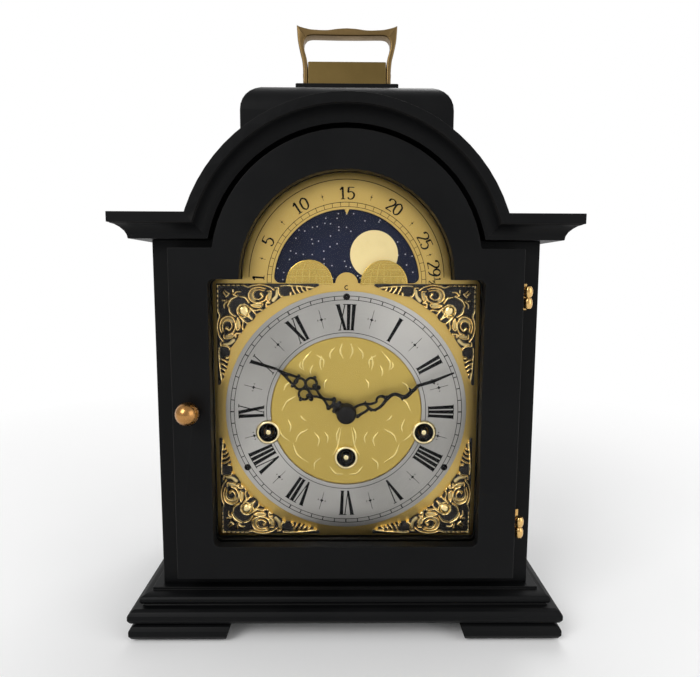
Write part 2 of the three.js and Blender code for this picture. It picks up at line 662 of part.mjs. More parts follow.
function chapterRing() {
  const ring = new THREE.Shape().absarc(0, 0, RING_OUTER, 0, 2 * Math.PI, false);
  ring.holes.push(new THREE.Path().absarc(0, 0, RING_INNER, 0, 2 * Math.PI, true));
  const body = slab(ring, RING_FACE, DIAL_FACE, 48).translate([0, 0, DIAL_Z]);
  return cut(body, ...WINDING.map(({ x, z }) => rod(BUSH.outer + SEAT, 0, 20, x, DIAL_Z + z, 24)));
}

// A raised collar lining a winding hole.
function bush({ x, z }) {
  const [front, back] = [RING_FACE - 0.9, DIAL_FACE];
  const profile = [
    [BUSH.bore, front + 0.3],
    [BUSH.bore + 0.5, front],
    [BUSH.outer - 0.5, front],
    [BUSH.outer, front + 0.4],
    [BUSH.outer, back - 0.55],
    [BUSH.bore, back - 0.55],
    [BUSH.bore, front + 0.3],
  ];
  return turned(profile, x, DIAL_Z + z, 24);
}

// A cast corner of scrolls about the diagonal, for the upper right and measured from the hands' centre.
// Its lines are drawn as distances in from the two outer edges.
function spandrel() {
  const { half, ground, front } = SPANDREL;
  const placed = (points) => points.map(([across, down]) => [half - across, half - down]);
  const raised = (points, widths, steps) => ribbon(placed(points), widths, front, ground + 0.3, steps);
  const lip = [
    [52.2, 1],
    [48.2, 3.4],
    [42.8, 5],
    [38, 6.2],
    [33.8, 6.2],
    [30, 9.2],
    [26.8, 11.2],
    [24.2, 13.4],
    [20.6, 15.8],
    [18.4, 18.4],
  ];
  const folded = lip.slice(0, -1).map(([across, down]) => [down, across]).reverse();
  const outline = [...lip, ...folded, [0, 46.2], [0, 0], [46.2, 0]];
  const board = slab(polygon(placed(outline)), ground, DIAL_FACE);
  const rim = raised([[49, 1], [42, 1.8], [35, 0.8], [28, 1.2], [20, 0.9], [6, 0.8]], [1, 1.4, 1, 1.6, 1, 1.4, 1.2], 8);
  const bow = raised(lip.slice(1), [0.9, 1.6, 1, 1.7, 1, 1.8, 1.1], 11);
  const rose = raised(spiral([22.4, 6.2], [4.8, -40], [0.9, -480], 9), [1, 1.5, 1.1, 1.5, 1.6], 12);
  const comma = raised(spiral([31.6, 4.3], [3.1, 20], [0.8, -240], 7), [0.9, 1.3, 1.2, 2], 7);
  const leaf = raised([[39.2, 1.8], [37.6, 3.6], [36.4, 5.8]], [0.8, 1.6, 0.8], 3);
  const petal = raised(spiral([13.7, 13.7], [8, -80], [8, -30], 5), [0.6, 1.9, 0.6], 5);
  const side = join(rim, bow, rose, comma, leaf, petal);
  const folds = [45, 225].map((degrees) =>
    raised(spiral([13.7, 13.7], [7.6, degrees - 25], [7.6, degrees + 25], 5), [0.6, 1.9, 0.6], 5),
  );
  const boss = rod(3.1, front - 0.6, ground + 0.3, half - 14.4, half - 14.4, 12);
  const whole = join(board, side, side.mirror([1, 0, -1]), ...folds, boss);
  const limit = block(0, half, front - 1, DIAL_FACE + 1, 0, half - SEAT);
  return cut(whole.intersect(limit), rod(RING_OUTER + SEAT, 0, 20, 0, 0, 96));
}

const corner = spandrel();
for (const [name, up] of [["upper", 1], ["lower", -1]]) {
  const right = (up > 0 ? corner : corner.mirror([0, 0, 1])).translate([0, 0, DIAL_Z]);
  piece(`spandrel_${name}_right`, right, GILT);
  piece(`spandrel_${name}_left`, mirrored(right), GILT);
}

function moonDisc() {
  const teeth = 59;
  const rim = Array.from({ length: teeth }, (_, i) => {
    const angle = (i / teeth) * 2 * Math.PI;
    const next = angle + (0.15 / teeth) * 2 * Math.PI;
    const at = (r, a) => [r * Math.cos(a), r * Math.sin(a)];
    return [at(MOON.disc - 0.9, angle), at(MOON.disc, next)];
  }).flat();
  const plate = slab(polygon(rim), MOON_FACE, MOON_FACE + MOON_THICK);
  const collet = rod(4, MOON_FACE + MOON_THICK - 0.1, MOON_FACE + 2.6, 0, 0, 20);
  return cut(join(plate, collet), rod(1.6 + PLAY, 0, 20, 0, 0, 16)).translate([0, 0, MOON.centre]);
}

piece("dial_plate", dialPlate(), GILT);
piece("chapter_ring", chapterRing(), SILVERED);
for (const hole of WINDING) piece(`winding_bush_${hole.name}`, bush(hole), BRASS);
piece("moon_disc", moonDisc(), NIGHT);

// ---------------------------------------------------------------- pierced hands, drawn pointing up
const HOUR_PLANE = [1.2, 2];
const MINUTE_PLANE = [-1, -0.2];
const rightAndLeft = (body) => [body, mirrored(body)];

function loop(x, z, outer, inner, [front, back]) {
  const shape = new THREE.Shape().absarc(0, 0, outer, 0, 2 * Math.PI, false);
  shape.holes.push(new THREE.Path().absarc(0, 0, inner, 0, 2 * Math.PI, true));
  return slab(shape, front, back, 7).translate([x, 0, z]);
}

function hourHand() {
  const [front, back] = HOUR_PLANE;
  const stem = ribbon([[0, 4.5], [0.5, 9], [-0.5, 14], [0, 23]], [2.6, 1.5, 1.8, 2], front, back, 8);
  const scroll = ribbon(spiral([3.1, 13.6], [3.2, 215], [2.4, -50], 7), [1, 1.4, 1.1, 1.7], front, back, 9);
  const rings = [loop(-3.4, 22, 3.1, 1.5, HOUR_PLANE), loop(3.4, 22, 3.1, 1.5, HOUR_PLANE)];
  const crown = loop(0, 26.6, 3.1, 1.5, HOUR_PLANE);
  const ear = ribbon([[3.2, 24.6], [5, 27], [6.6, 27]], [1.4, 1.5, 1], front, back, 6);
  const half = [[0.9, 28.8], [1.1, 31], [3.1, 32.6], [3, 34.4], [1.3, 37], [0.5, 39.5]];
  const tip = [...half, [0, HOUR_LENGTH], ...half.map(([x, z]) => [-x, z]).reverse()];
  const hub = loop(0, 0, 5, TUBE + 0.05, HOUR_PLANE);
  const parts = [stem, ...rightAndLeft(scroll), ...rings, crown, ...rightAndLeft(ear), slab(polygon(tip), front, back)];
  return join(hub, ...parts);
}

function minuteHand() {
  const [front, back] = MINUTE_PLANE;
  const stem = ribbon(
    [[0, 4], [1.2, 9], [-1.3, 15], [1.3, 21], [-1.1, 27], [0.8, 32], [0, 38], [0, MINUTE_LENGTH]],
    [2.8, 1.9, 2, 2, 1.8, 1.9, 1.6, 1.5, 1.3, 1.1, 0.6],
    front,
    back,
    30,
  );
  const curls = [[1, 12, 3], [-1, 18, 3], [1, 24, 2.7], [-1, 29.6, 2.3]].map(([side, z, radius]) => {
    const half = ribbon(spiral([2.4, z], [radius, 205], [radius * 0.55, -95], 7), [1, 1.4, 1, 1.6], front, back, 9);
    return side > 0 ? half : mirrored(half);
  });
  const hub = loop(0, 0, 5, CENTRE_ARBOR + 0.05, MINUTE_PLANE);
  return join(hub, stem, ...curls);
}

const setHand = (body, degrees) => body.rotate([0, degrees, 0]).translate([0, 0, DIAL_Z]);
piece("hour_hand", setHand(hourHand(), HOUR_ANGLE), BLUED);
piece("minute_hand", setHand(minuteHand(), MINUTE_ANGLE), BLUED);
piece("hand_nut", turned([[CENTRE_ARBOR + 0.05, -2.6], [2.6, -2.6], [3.1, -2], [3.1, -1], [CENTRE_ARBOR + 0.05, -1], [CENTRE_ARBOR + 0.05, -2.6]], 0, DIAL_Z, 16), BLUED);

// ---------------------------------------------------------------- motion work behind the dial
const MOTION_X = -pitchRadius(MINUTE_PINION) - pitchRadius(MINUTE_WHEEL);
const HOUR_LAYER = [13, 14.4];
const MINUTE_LAYER = [17.4, 18.8];

function hourWheel() {
  const wheel = gear(HOUR_WHEEL, 0, ...HOUR_LAYER);
  const pipe = rod(TUBE, HOUR_PLANE[0], HOUR_LAYER[0] + 0.2, 0, 0, 20);
  return cut(join(wheel, pipe), rod(CENTRE_ARBOR + PLAY, 0, 20)).translate([0, 0, DIAL_Z]);
}

function minuteWheel() {
  const at = { x: MOTION_X, z: DIAL_Z };
  const wheel = gear(MINUTE_WHEEL, gapPhase(Math.PI, MINUTE_WHEEL), ...MINUTE_LAYER, at);
  const pinion = gear(HOUR_PINION, gapPhase(Math.PI, HOUR_PINION), HOUR_LAYER[0] - 0.6, MINUTE_LAYER[0] + 0.1, at);
  return cut(join(wheel, pinion), rod(1 + PLAY, 0, 30, MOTION_X, DIAL_Z, 12));
}

function centreWheel() {
  const at = { x: 0, z: DIAL_Z };
  const front = gear(MINUTE_PINION, Math.PI, MINUTE_LAYER[0] - 0.6, MINUTE_LAYER[1] + 0.6, at);
  const pinion = gear(CENTRE_PINION, -Math.PI / 2, 29.5, 34, at);
  const wheel = gear(CENTRE_WHEEL, 0, 27.4, 28.6, at);
  const arbor = rod(CENTRE_ARBOR, -3.4, MOVEMENT.back + 1, 0, DIAL_Z, 16);
  const collar = rod(2.6, 28.5, 29.6, 0, DIAL_Z, 16);
  return join(arbor, front, pinion, wheel, collar);
}

piece("hour_wheel", hourWheel(), BRASS);
piece("minute_wheel", minuteWheel(), BRASS);
piece("centre_wheel", centreWheel(), BRASS);

// ---------------------------------------------------------------- movement
const PILLARS = [[-52, 64], [52, 64], [-40, 152], [40, 152]];
const BARREL_FRONT = 31;
const BARREL_BACK = 60;
const BALANCE = { x: 22, z: 140, radius: 9, front: 70 };

const pivotHoles = (list) => list.map(([x, z, radius]) => rod(radius + PLAY, 0, 90, x, z, 12));
const arborHoles = WINDING.map(({ x, z }) => [x, DIAL_Z + z, ARBOR]);

function frontPlate() {
  const { half, low, high, front, plate } = MOVEMENT;
  const board = block(-half, half, front, front + plate, low, high);
  const pillars = PILLARS.map(([x, z]) => rod(3, front + plate - 0.5, MOVEMENT.back - plate, x, z, 12));
  const stud = rod(1, HOUR_LAYER[0] - 1.4, front + 0.5, MOTION_X, DIAL_Z, 12);
  const holes = pivotHoles([...arborHoles, [0, DIAL_Z, CENTRE_ARBOR]]);
  return join(cut(board, ...holes), ...pillars, stud);
}

function backPlate() {
  const { half, low, high, back, plate } = MOVEMENT;
  const board = block(-half, half, back - plate, back, low, high);
  const { x, z, radius, front } = BALANCE;
  const leg = block(x + radius + 2, x + radius + 8, back - 0.5, front + 5, z - 4, z + 4);
  const bridge = block(x - 3, x + radius + 8, front + 3.4, front + 5, z - 3, z + 3);
  const holes = pivotHoles([...arborHoles, [0, DIAL_Z, CENTRE_ARBOR], [x, z, 0.7]]);
  return cut(join(board, leg, bridge), ...holes);
}

// A spring barrel with its toothed rim; only the going barrel's rim meets another wheel.
function barrel({ name, x, z }) {
  const wheel = name === "time" ? GREAT_WHEEL : SIDE_WHEEL;
  const phase = name === "time" ? gapPhase(-Math.PI / 2, wheel) : 0;
  const teeth = gear(wheel, phase, BARREL_FRONT, BARREL_FRONT + 2);
  const drum = rod(DRUM, BARREL_FRONT + 1, BARREL_BACK, 0, 0, 24);
  return cut(join(teeth, drum), rod(ARBOR + PLAY, 0, 90)).translate([x, 0, DIAL_Z + z]);
}

// Round in the plates and barrel, square where the key fits.
function windingArbor({ x, z }) {
  const round = rod(ARBOR, 20, MOVEMENT.back + 3, 0, 0, 12);
  const square = block(-1.6, 1.6, 4.2, 21, -1.6, 1.6);
  return join(round, square).translate([x, 0, DIAL_Z + z]);
}

function balanceWheel() {
  const { x, z, radius, front } = BALANCE;
  const rim = loop(0, 0, radius, radius - 1.6, [front, front + 1.2]);
  const arms = block(-radius + 1, radius - 1, front, front + 1.2, -0.8, 0.8);
  const staff = rod(0.7, MOVEMENT.back - 1, front + 4.6, 0, 0, 12);
  return join(rim, arms, staff).translate([x, 0, z]);
}

piece("front_plate", frontPlate(), BRASS);
piece("back_plate", backPlate(), BRASS);
piece("balance_wheel", balanceWheel(), BRASS);
for (const train of WINDING) {
  piece(`barrel_${train.name}`, barrel(train), BRASS);
  piece(`winding_arbor_${train.name}`, windingArbor(train), STEEL);
}

function seatBoard() {
  const { low, front, back } = SEAT_BOARD;
  return block(-SIDE_INNER, SIDE_INNER, front, back, low, MOVEMENT.low);
}

piece("seat_board", seatBoard(), EBONISED);

// ---------------------------------------------------------------- centred on the origin, knobs included
clock.updateMatrixWorld(true);
const extent = new THREE.Box3().setFromObject(clock);
const shift = -(extent.min.y + extent.max.y) / 2;
for (const mesh of clock.children) mesh.geometry.translate(0, shift, 0);

export default clock;
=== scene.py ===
"""A break-arch bracket clock with a moon dial. Sizes in the shape functions are millimetres; meshes are
metres."""

import json
from math import cos, pi, radians, sin

import bmesh
import bpy
import numpy as np
from mathutils import Euler, Matrix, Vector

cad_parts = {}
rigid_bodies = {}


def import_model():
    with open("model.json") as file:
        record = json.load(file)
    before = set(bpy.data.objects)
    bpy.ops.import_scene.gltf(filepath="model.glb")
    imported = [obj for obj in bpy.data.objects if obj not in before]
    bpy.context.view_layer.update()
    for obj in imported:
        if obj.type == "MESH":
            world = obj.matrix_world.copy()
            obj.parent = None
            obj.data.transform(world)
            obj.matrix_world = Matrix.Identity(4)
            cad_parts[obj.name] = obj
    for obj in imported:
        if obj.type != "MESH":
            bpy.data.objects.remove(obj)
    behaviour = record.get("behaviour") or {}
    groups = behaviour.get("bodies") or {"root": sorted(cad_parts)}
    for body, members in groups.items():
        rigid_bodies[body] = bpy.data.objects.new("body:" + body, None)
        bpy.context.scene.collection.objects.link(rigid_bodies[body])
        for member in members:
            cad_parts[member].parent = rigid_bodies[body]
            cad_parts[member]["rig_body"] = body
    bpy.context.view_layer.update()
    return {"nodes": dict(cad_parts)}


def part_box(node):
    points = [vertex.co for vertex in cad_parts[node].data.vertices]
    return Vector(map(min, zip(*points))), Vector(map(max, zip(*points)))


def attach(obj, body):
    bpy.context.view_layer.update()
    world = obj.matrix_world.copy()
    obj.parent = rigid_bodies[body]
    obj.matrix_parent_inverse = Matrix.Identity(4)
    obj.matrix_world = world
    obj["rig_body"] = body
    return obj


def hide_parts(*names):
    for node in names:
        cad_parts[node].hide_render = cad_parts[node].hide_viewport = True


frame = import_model()
MM = 0.001  # metres

# ---------------------------------------------------------------- where things are, read from the frame
CASE_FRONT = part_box("front_frame")[0].y / MM
RING_LOW, RING_HIGH = (np.array(corner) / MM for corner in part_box("chapter_ring"))
DIAL_Z = (RING_LOW[2] + RING_HIGH[2]) / 2
RING_FACE = RING_LOW[1]
PLATE_FACE = RING_HIGH[1]
MOON_LOW, MOON_HIGH = (np.array(corner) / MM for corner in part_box("moon_disc"))
MOON_Z = (MOON_LOW[2] + MOON_HIGH[2]) / 2
# winding squares: across and up from the dial's centre
WINDING = {"strike": (-40.6, -11.0), "time": (0.0, -24.5), "chime": (40.6, -11.0)}

scene = bpy.context.scene


# ---------------------------------------------------------------- meshes
def lay(name, points, faces, material, body, replaces=(), smooth=True, values=None):
    """A piece from an array of points in millimetres and a list of faces, riding on a body."""
    mesh = bpy.data.meshes.new(name)
    mesh.from_pydata((np.asarray(points, float) * MM).tolist(), [], [list(map(int, f)) for f in faces])
    mesh.polygons.foreach_set("use_smooth", np.full(len(mesh.polygons), smooth))
    if values is not None:
        layer = mesh.attributes.new("height", "FLOAT", "POINT")
        layer.data.foreach_set("value", np.asarray(values, np.float32).ravel())
    mesh.update()
    piece = bpy.data.objects.new(name, mesh)
    scene.collection.objects.link(piece)
    mesh.materials.append(material)
    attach(piece, body)
    if replaces:
        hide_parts(*replaces)


def grid_faces(rows, columns, wrap=False, first=0):
    """Quads of a grid of rows by columns; wrap closes it round the columns."""
    row = np.arange(rows - 1)[:, None]
    column = np.arange(columns if wrap else columns - 1)[None, :]
    following = (column + 1) % columns
    corners = [
        row * columns + column, row * columns + following, (row + 1) * columns + following,
        (row + 1) * columns + column
    ]
    return (np.stack(np.broadcast_arrays(*corners), -1).reshape(-1, 4) + first).tolist()


def facing_front(x, z, y):
    """A sheet of points from x, z and y arrays, in rows that run upwards."""
    return np.stack([x, y, z], -1).reshape(-1, 3)


def turned(profile, axis, centre, sides=48):
    """A profile of (radius, distance) pairs swept about an axis: each point goes to radius times the cosine
    and sine."""
    profile = np.asarray(profile, float)
    angle = np.linspace(0, 2 * pi, sides, endpoint=False)
    radius, along = profile[:, :1], np.repeat(profile[:, 1:], sides, 1)
    a, b = radius * np.cos(angle), radius * np.sin(angle)
    order = {"y": (a, along, b), "z": (b, a, along)}[axis]
    return np.stack(order, -1).reshape(-1, 3) + np.asarray(centre, float), grid_faces(
        len(profile), sides, wrap=True
    )


def smoothed(points, count):
    """A Catmull-Rom curve through points, each span a cubic of the four points round it, at count equal
    steps."""
    points = np.asarray(points, float)
    padded = np.vstack([2 * points[0] - points[1], points, 2 * points[-1] - points[-2]])
    place = np.linspace(0, len(points) - 1, count)
    span = np.minimum(place.astype(int), len(points) - 2)
    t = (place - span)[:, None]
    a, b, c, d = (padded[span + k] for k in range(4))
    return 0.5 * (2 * b + (c - a) * t + (2 * a - 5 * b + 4 * c - d) * t**2 + (3 * b - a - 3 * c + d) * t**3)


def spiral(centre, start, end, count=60):
    """Points whose radius and angle both run evenly from start to end about a centre; angles in degrees."""
    share = np.linspace(0, 1, count)
    radius = start[0] + (end[0] - start[0]) * share
    angle = np.radians(start[1] + (end[1] - start[1]) * share)
    return np.stack([centre[0] + radius * np.cos(angle), centre[1] + radius * np.sin(angle)], -1)


CROWN = 0.16  # bevel round the front of a strand
STOUTER = 0.42  # added to each drawn width of a strand


def ribbon(points, widths, front, back, count):
    """A solid strip: the line moved half its width to either side, its front face bevelled."""
    line = smoothed(points, count)
    along = np.gradient(line, axis=0)
    normal = np.stack([-along[:, 1], along[:, 0]], -1) / np.linalg.norm(along, axis=1, keepdims=True)
    half = np.interp(np.linspace(0, 1, count), np.linspace(0, 1, len(widths)), widths)[:, None] / 2
    half = half + STOUTER / 2
    edge = np.minimum(CROWN, half * 0.6)
    depths = [back, front + CROWN, front, front, front + CROWN, back]
    offsets = [half, half, half - edge, edge - half, -half, -half]
    sheet = [np.column_stack([line + normal * off, np.full(count, y)]) for off, y in zip(offsets, depths)]
    points3 = np.stack(sheet, 1)[:, :, [0, 2, 1]].reshape(-1, 3)
    faces = grid_faces(count, 6, wrap=True) + [list(range(6)), list(range(count * 6 - 1, count * 6 - 7, -1))]
    return points3, faces


def gathered(parts):
    """Several (points, faces) pairs as one."""
    starts = np.cumsum([0] + [len(p) for p, _ in parts])
    points = np.vstack([p for p, _ in parts])
    return points, [[i + start for i in face] for (_, faces), start in zip(parts, starts) for face in faces]


def mirrored(part):
    """The same part on the other side of the line x = 0."""
    points, faces = part
    return points * [-1, 1, 1], [face[::-1] for face in faces]


SHARP = 28  # degrees: an edge that turns more than this is a worked edge
FLAT = 0.4  # degrees: triangles that differ less than this are one face
WELD = 2e-6  # metres: corners closer than this are one
MANY_SIDED = 40  # a face with more corners than this is cut into triangles again


def clean_copy(node, material, width):
    """A copy of a solid with its flat faces merged and its sharp edges rounded over."""
    source = frame["nodes"][node]
    mesh = source.data.copy()
    piece = bpy.data.objects.new(node + "_finished", mesh)
    scene.collection.objects.link(piece)
    work = bmesh.new()
    work.from_mesh(mesh)
    bmesh.ops.remove_doubles(work, verts=work.verts, dist=WELD)
    bmesh.ops.dissolve_limit(work, angle_limit=radians(FLAT), verts=work.verts, edges=work.edges)
    bmesh.ops.triangulate(work, faces=[f for f in work.faces if len(f.verts) > MANY_SIDED])
    work.to_mesh(mesh)
    work.free()
    mesh.polygons.foreach_set("use_smooth", np.full(len(mesh.polygons), True))
    mesh.set_sharp_from_angle(angle=radians(SHARP))
    mesh.materials.clear()
    mesh.materials.append(material)
    if width:
        bevel = piece.modifiers.new("rounded", "BEVEL")
        bevel.width = width * MM
        bevel.segments = 3
        bevel.limit_method = "ANGLE"
        bevel.angle_limit = radians(SHARP)
        bevel.harden_normals = True
        bevel.use_clamp_overlap = True
    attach(piece, source["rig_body"])
    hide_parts(node)


# ---------------------------------------------------------------- materials
class Maker:
    """A material's nodes, added and joined by name."""

    def __init__(self, name):
        self.material = bpy.data.materials.new(name)
        self.material.use_nodes = True
        self.tree = self.material.node_tree
        self.surface = self.tree.nodes["Principled BSDF"]

    def node(self, kind, settings=None, **sockets):
        """A new node: its settings, then its inputs by name, with spaces written as underscores."""
        made = self.tree.nodes.new(kind)
        for key, value in (settings or {}).items():
            setattr(made, key, value)
        for key, value in sockets.items():
            self.put(made.inputs[key.replace("_", " ")], value)
        return made

    def put(self, socket, value):
        """A link where the value is an output of another node, and a plain value otherwise."""
        if isinstance(value, bpy.types.NodeSocket):
            self.tree.links.new(value, socket)
        else:
            socket.default_value = value

    def set(self, **sockets):
        """Inputs of the surface itself."""
        for key, value in sockets.items():
            self.put(self.surface.inputs[key.replace("_", " ")], value)

    def place(self):
        """The point in the piece's own coordinates."""
        return self.node("ShaderNodeTexCoord").outputs["Object"]

    def noise(self, scale, detail=3.0, roughness=0.5, stretch=None):
        """Noise at a point, drawn out along an axis where its stretch is small."""
        where = self.place()
        if stretch:
            mapping = self.node("ShaderNodeMapping", Vector=where)
            mapping.inputs["Scale"].default_value = stretch
            where = mapping.outputs["Vector"]
        return self.node(
            "ShaderNodeTexNoise", Vector=where, Scale=scale, Detail=detail, Roughness=roughness
        ).outputs["Fac"]

    def ramp(self, value, low, high, from_low=0.0, from_high=1.0):
        """A value carried in a straight line from one range to another, and held at the ends."""
        made = self.node("ShaderNodeMapRange", Value=value)
        for key, number in (
            ("From Min", from_low), ("From Max", from_high), ("To Min", low), ("To Max", high)
        ):
            made.inputs[key].default_value = number
        return made.outputs["Result"]

    def blend(self, amount, a, b):
        """Colour a where the amount is 0, and b where it is 1."""
        made = self.node("ShaderNodeMix", {"data_type": "RGBA"})
        self.put(made.inputs[0], amount)
        self.put(made.inputs[6], a)
        self.put(made.inputs[7], b)
        return made.outputs[2]

    def math(self, operation, a, b=0.0):
        """One sum on two values."""
        made = self.node("ShaderNodeMath", {"operation": operation})
        self.put(made.inputs[0], a)
        self.put(made.inputs[1], b)
        return made.outputs[0]

    def bump(self, height, strength, distance):
        """A bent normal from a height."""
        return self.node(
            "ShaderNodeBump", Height=height, Strength=strength, Distance=distance
        ).outputs["Normal"]


def wear_group():
    """Mask that is high on exposed corners, from how far the bent normal leaves the true one, broken up by
    noise."""
    group = bpy.data.node_groups.new("handled_edges", "ShaderNodeTree")
    group.interface.new_socket("Amount", in_out="INPUT", socket_type="NodeSocketFloat")
    group.interface.new_socket("Radius", in_out="INPUT", socket_type="NodeSocketFloat")
    group.interface.new_socket("Mask", in_out="OUTPUT", socket_type="NodeSocketFloat")
    nodes, links = group.nodes, group.links
    start, end = nodes.new("NodeGroupInput"), nodes.new("NodeGroupOutput")
    geometry = nodes.new("ShaderNodeNewGeometry")
    soft = nodes.new("ShaderNodeBevel")
    soft.samples = 4
    links.new(start.outputs["Radius"], soft.inputs["Radius"])
    dot = nodes.new("ShaderNodeVectorMath")
    dot.operation = "DOT_PRODUCT"
    links.new(geometry.outputs["True Normal"], dot.inputs[0])
    links.new(soft.outputs["Normal"], dot.inputs[1])
    spread = nodes.new("ShaderNodeMapRange")
    for key, number in (("From Min", 0.999), ("From Max", 0.93), ("To Min", 0.0), ("To Max", 1.0)):
        spread.inputs[key].default_value = number
    links.new(dot.outputs["Value"], spread.inputs["Value"])
    coordinates = nodes.new("ShaderNodeTexCoord")
    patches = nodes.new("ShaderNodeTexNoise")
    patches.inputs["Scale"].default_value = 90.0
    patches.inputs["Detail"].default_value = 4.0
    links.new(coordinates.outputs["Object"], patches.inputs["Vector"])
    first = nodes.new("ShaderNodeMath")
    first.operation = "MULTIPLY"
    links.new(spread.outputs["Result"], first.inputs[0])
    links.new(patches.outputs["Fac"], first.inputs[1])
    second = nodes.new("ShaderNodeMath")
    second.operation = "MULTIPLY"
    links.new(first.outputs[0], second.inputs[0])
    links.new(start.outputs["Amount"], second.inputs[1])
    links.new(second.outputs[0], end.inputs["Mask"])
    return group


HANDLED_EDGES = wear_group()


def worn(maker, amount, radius):
    """The shared mask of handled edges, with this material's own strength and width."""
    made = maker.node("ShaderNodeGroup", {"node_tree": HANDLED_EDGES})
    made.inputs["Amount"].default_value = amount
    made.inputs["Radius"].default_value = radius
    return made.outputs["Mask"]


def ebonised(name, grain):
    """Satin black lacquer: fine pores along the grain, slight haze, edges rubbed a shade browner."""
    maker = Maker(name)
    stretch = {"x": (0.06, 1, 1), "y": (1, 0.06, 1), "z": (1, 1, 0.06)}[grain]
    pores = maker.noise(900.0, 3.0, 0.6, stretch)
    haze = maker.noise(28.0, 4.0, 0.6)
    edge = worn(maker, 0.8, 0.0006)
    colour = maker.blend(
        maker.ramp(haze, 0.0, 1.0, 0.35, 0.7), (0.0028, 0.003, 0.0034, 1), (0.0044, 0.0046, 0.005, 1)
    )
    maker.set(Base_Color=maker.blend(edge, colour, (0.016, 0.014, 0.012, 1)))
    maker.set(Roughness=maker.ramp(haze, 0.4, 0.52, 0.3, 0.7))
    maker.surface.inputs["Specular IOR Level"].default_value = 0.12
    maker.set(Normal=maker.bump(pores, 0.12, 0.00015))
    return maker.material


def metal(name, colour, dark, rough, stretch=None, scale=700.0, tarnish=0.5):
    """Metal with fine brushing or grain, and soft tarnish that darkens and dulls it in patches."""
    maker = Maker(name)
    lines = maker.noise(scale, 2.0, 0.6, stretch)
    clouds = maker.noise(35.0, 5.0, 0.62)
    spots = maker.ramp(clouds, 0.0, tarnish, 0.45, 0.8)
    maker.set(Base_Color=maker.blend(spots, colour, dark))
    maker.set(
        Roughness=maker.math(
            "ADD", maker.ramp(lines, rough - 0.06, rough + 0.06, 0.3, 0.7), maker.math("MULTIPLY", spots, 0.2)
        )
    )
    maker.surface.inputs["Metallic"].default_value = 1.0
    maker.set(Normal=maker.bump(lines, 0.05, 0.0001))
    return maker.material


WOOD_ALONG = ebonised("ebonised_rail", "x")
WOOD_UP = ebonised("ebonised_stile", "z")
WOOD_DEEP = ebonised("ebonised_side", "y")
BRASS = metal("polished_brass", (0.78, 0.50, 0.19, 1), (0.42, 0.24, 0.09, 1), 0.24)
OLD_BRASS = metal("handle_plate_brass", (0.19, 0.13, 0.045, 1), (0.12, 0.08, 0.026, 1), 0.42, tarnish=0.7)
BAIL_BRASS = metal("handle_brass", (0.22, 0.145, 0.06, 1), (0.12, 0.075, 0.03, 1), 0.36, tarnish=0.7)
COPPERY = metal("knob_brass", (0.46, 0.235, 0.08, 1), (0.3, 0.14, 0.05, 1), 0.26)
GILT = metal("gilt_plate", (0.57, 0.4, 0.125, 1), (0.44, 0.29, 0.08, 1), 0.36, (1, 1, 0.05), 1100.0, 0.35)
PALE_BRASS = metal("pale_brass", (0.86, 0.74, 0.42, 1), (0.7, 0.56, 0.28, 1), 0.3)
STEEL = metal("ground_steel", (0.05, 0.045, 0.045, 1), (0.03, 0.028, 0.028, 1), 0.45)
PLATES = metal("movement_brass", (0.74, 0.53, 0.25, 1), (0.5, 0.34, 0.15, 1), 0.38, (0.04, 1, 1), 900.0, 0.4)


def plain(name, colour, rough, gloss):
    """One colour with a little unevenness in its gloss."""
    maker = Maker(name)
    grain = maker.noise(420.0, 3.0)
    maker.put(
        maker.surface.inputs["Base Color"],
        maker.blend(maker.ramp(grain, 0, 1, 0.4, 0.6), colour, tuple(c * 0.8 for c in colour[:3]) + (1,))
    )
    maker.set(Roughness=maker.ramp(grain, rough - 0.05, rough + 0.05))
    maker.surface.inputs["Specular IOR Level"].default_value = gloss
    maker.set(Normal=maker.bump(grain, 0.05, 0.00005))
    return maker.material


INK = plain("black_filling", (0.004, 0.004, 0.0045, 1), 0.6, gloss=0.12)
HAND_BLACK = plain("blackened_steel", (0.005, 0.0045, 0.0045, 1), 0.4, gloss=0.16)


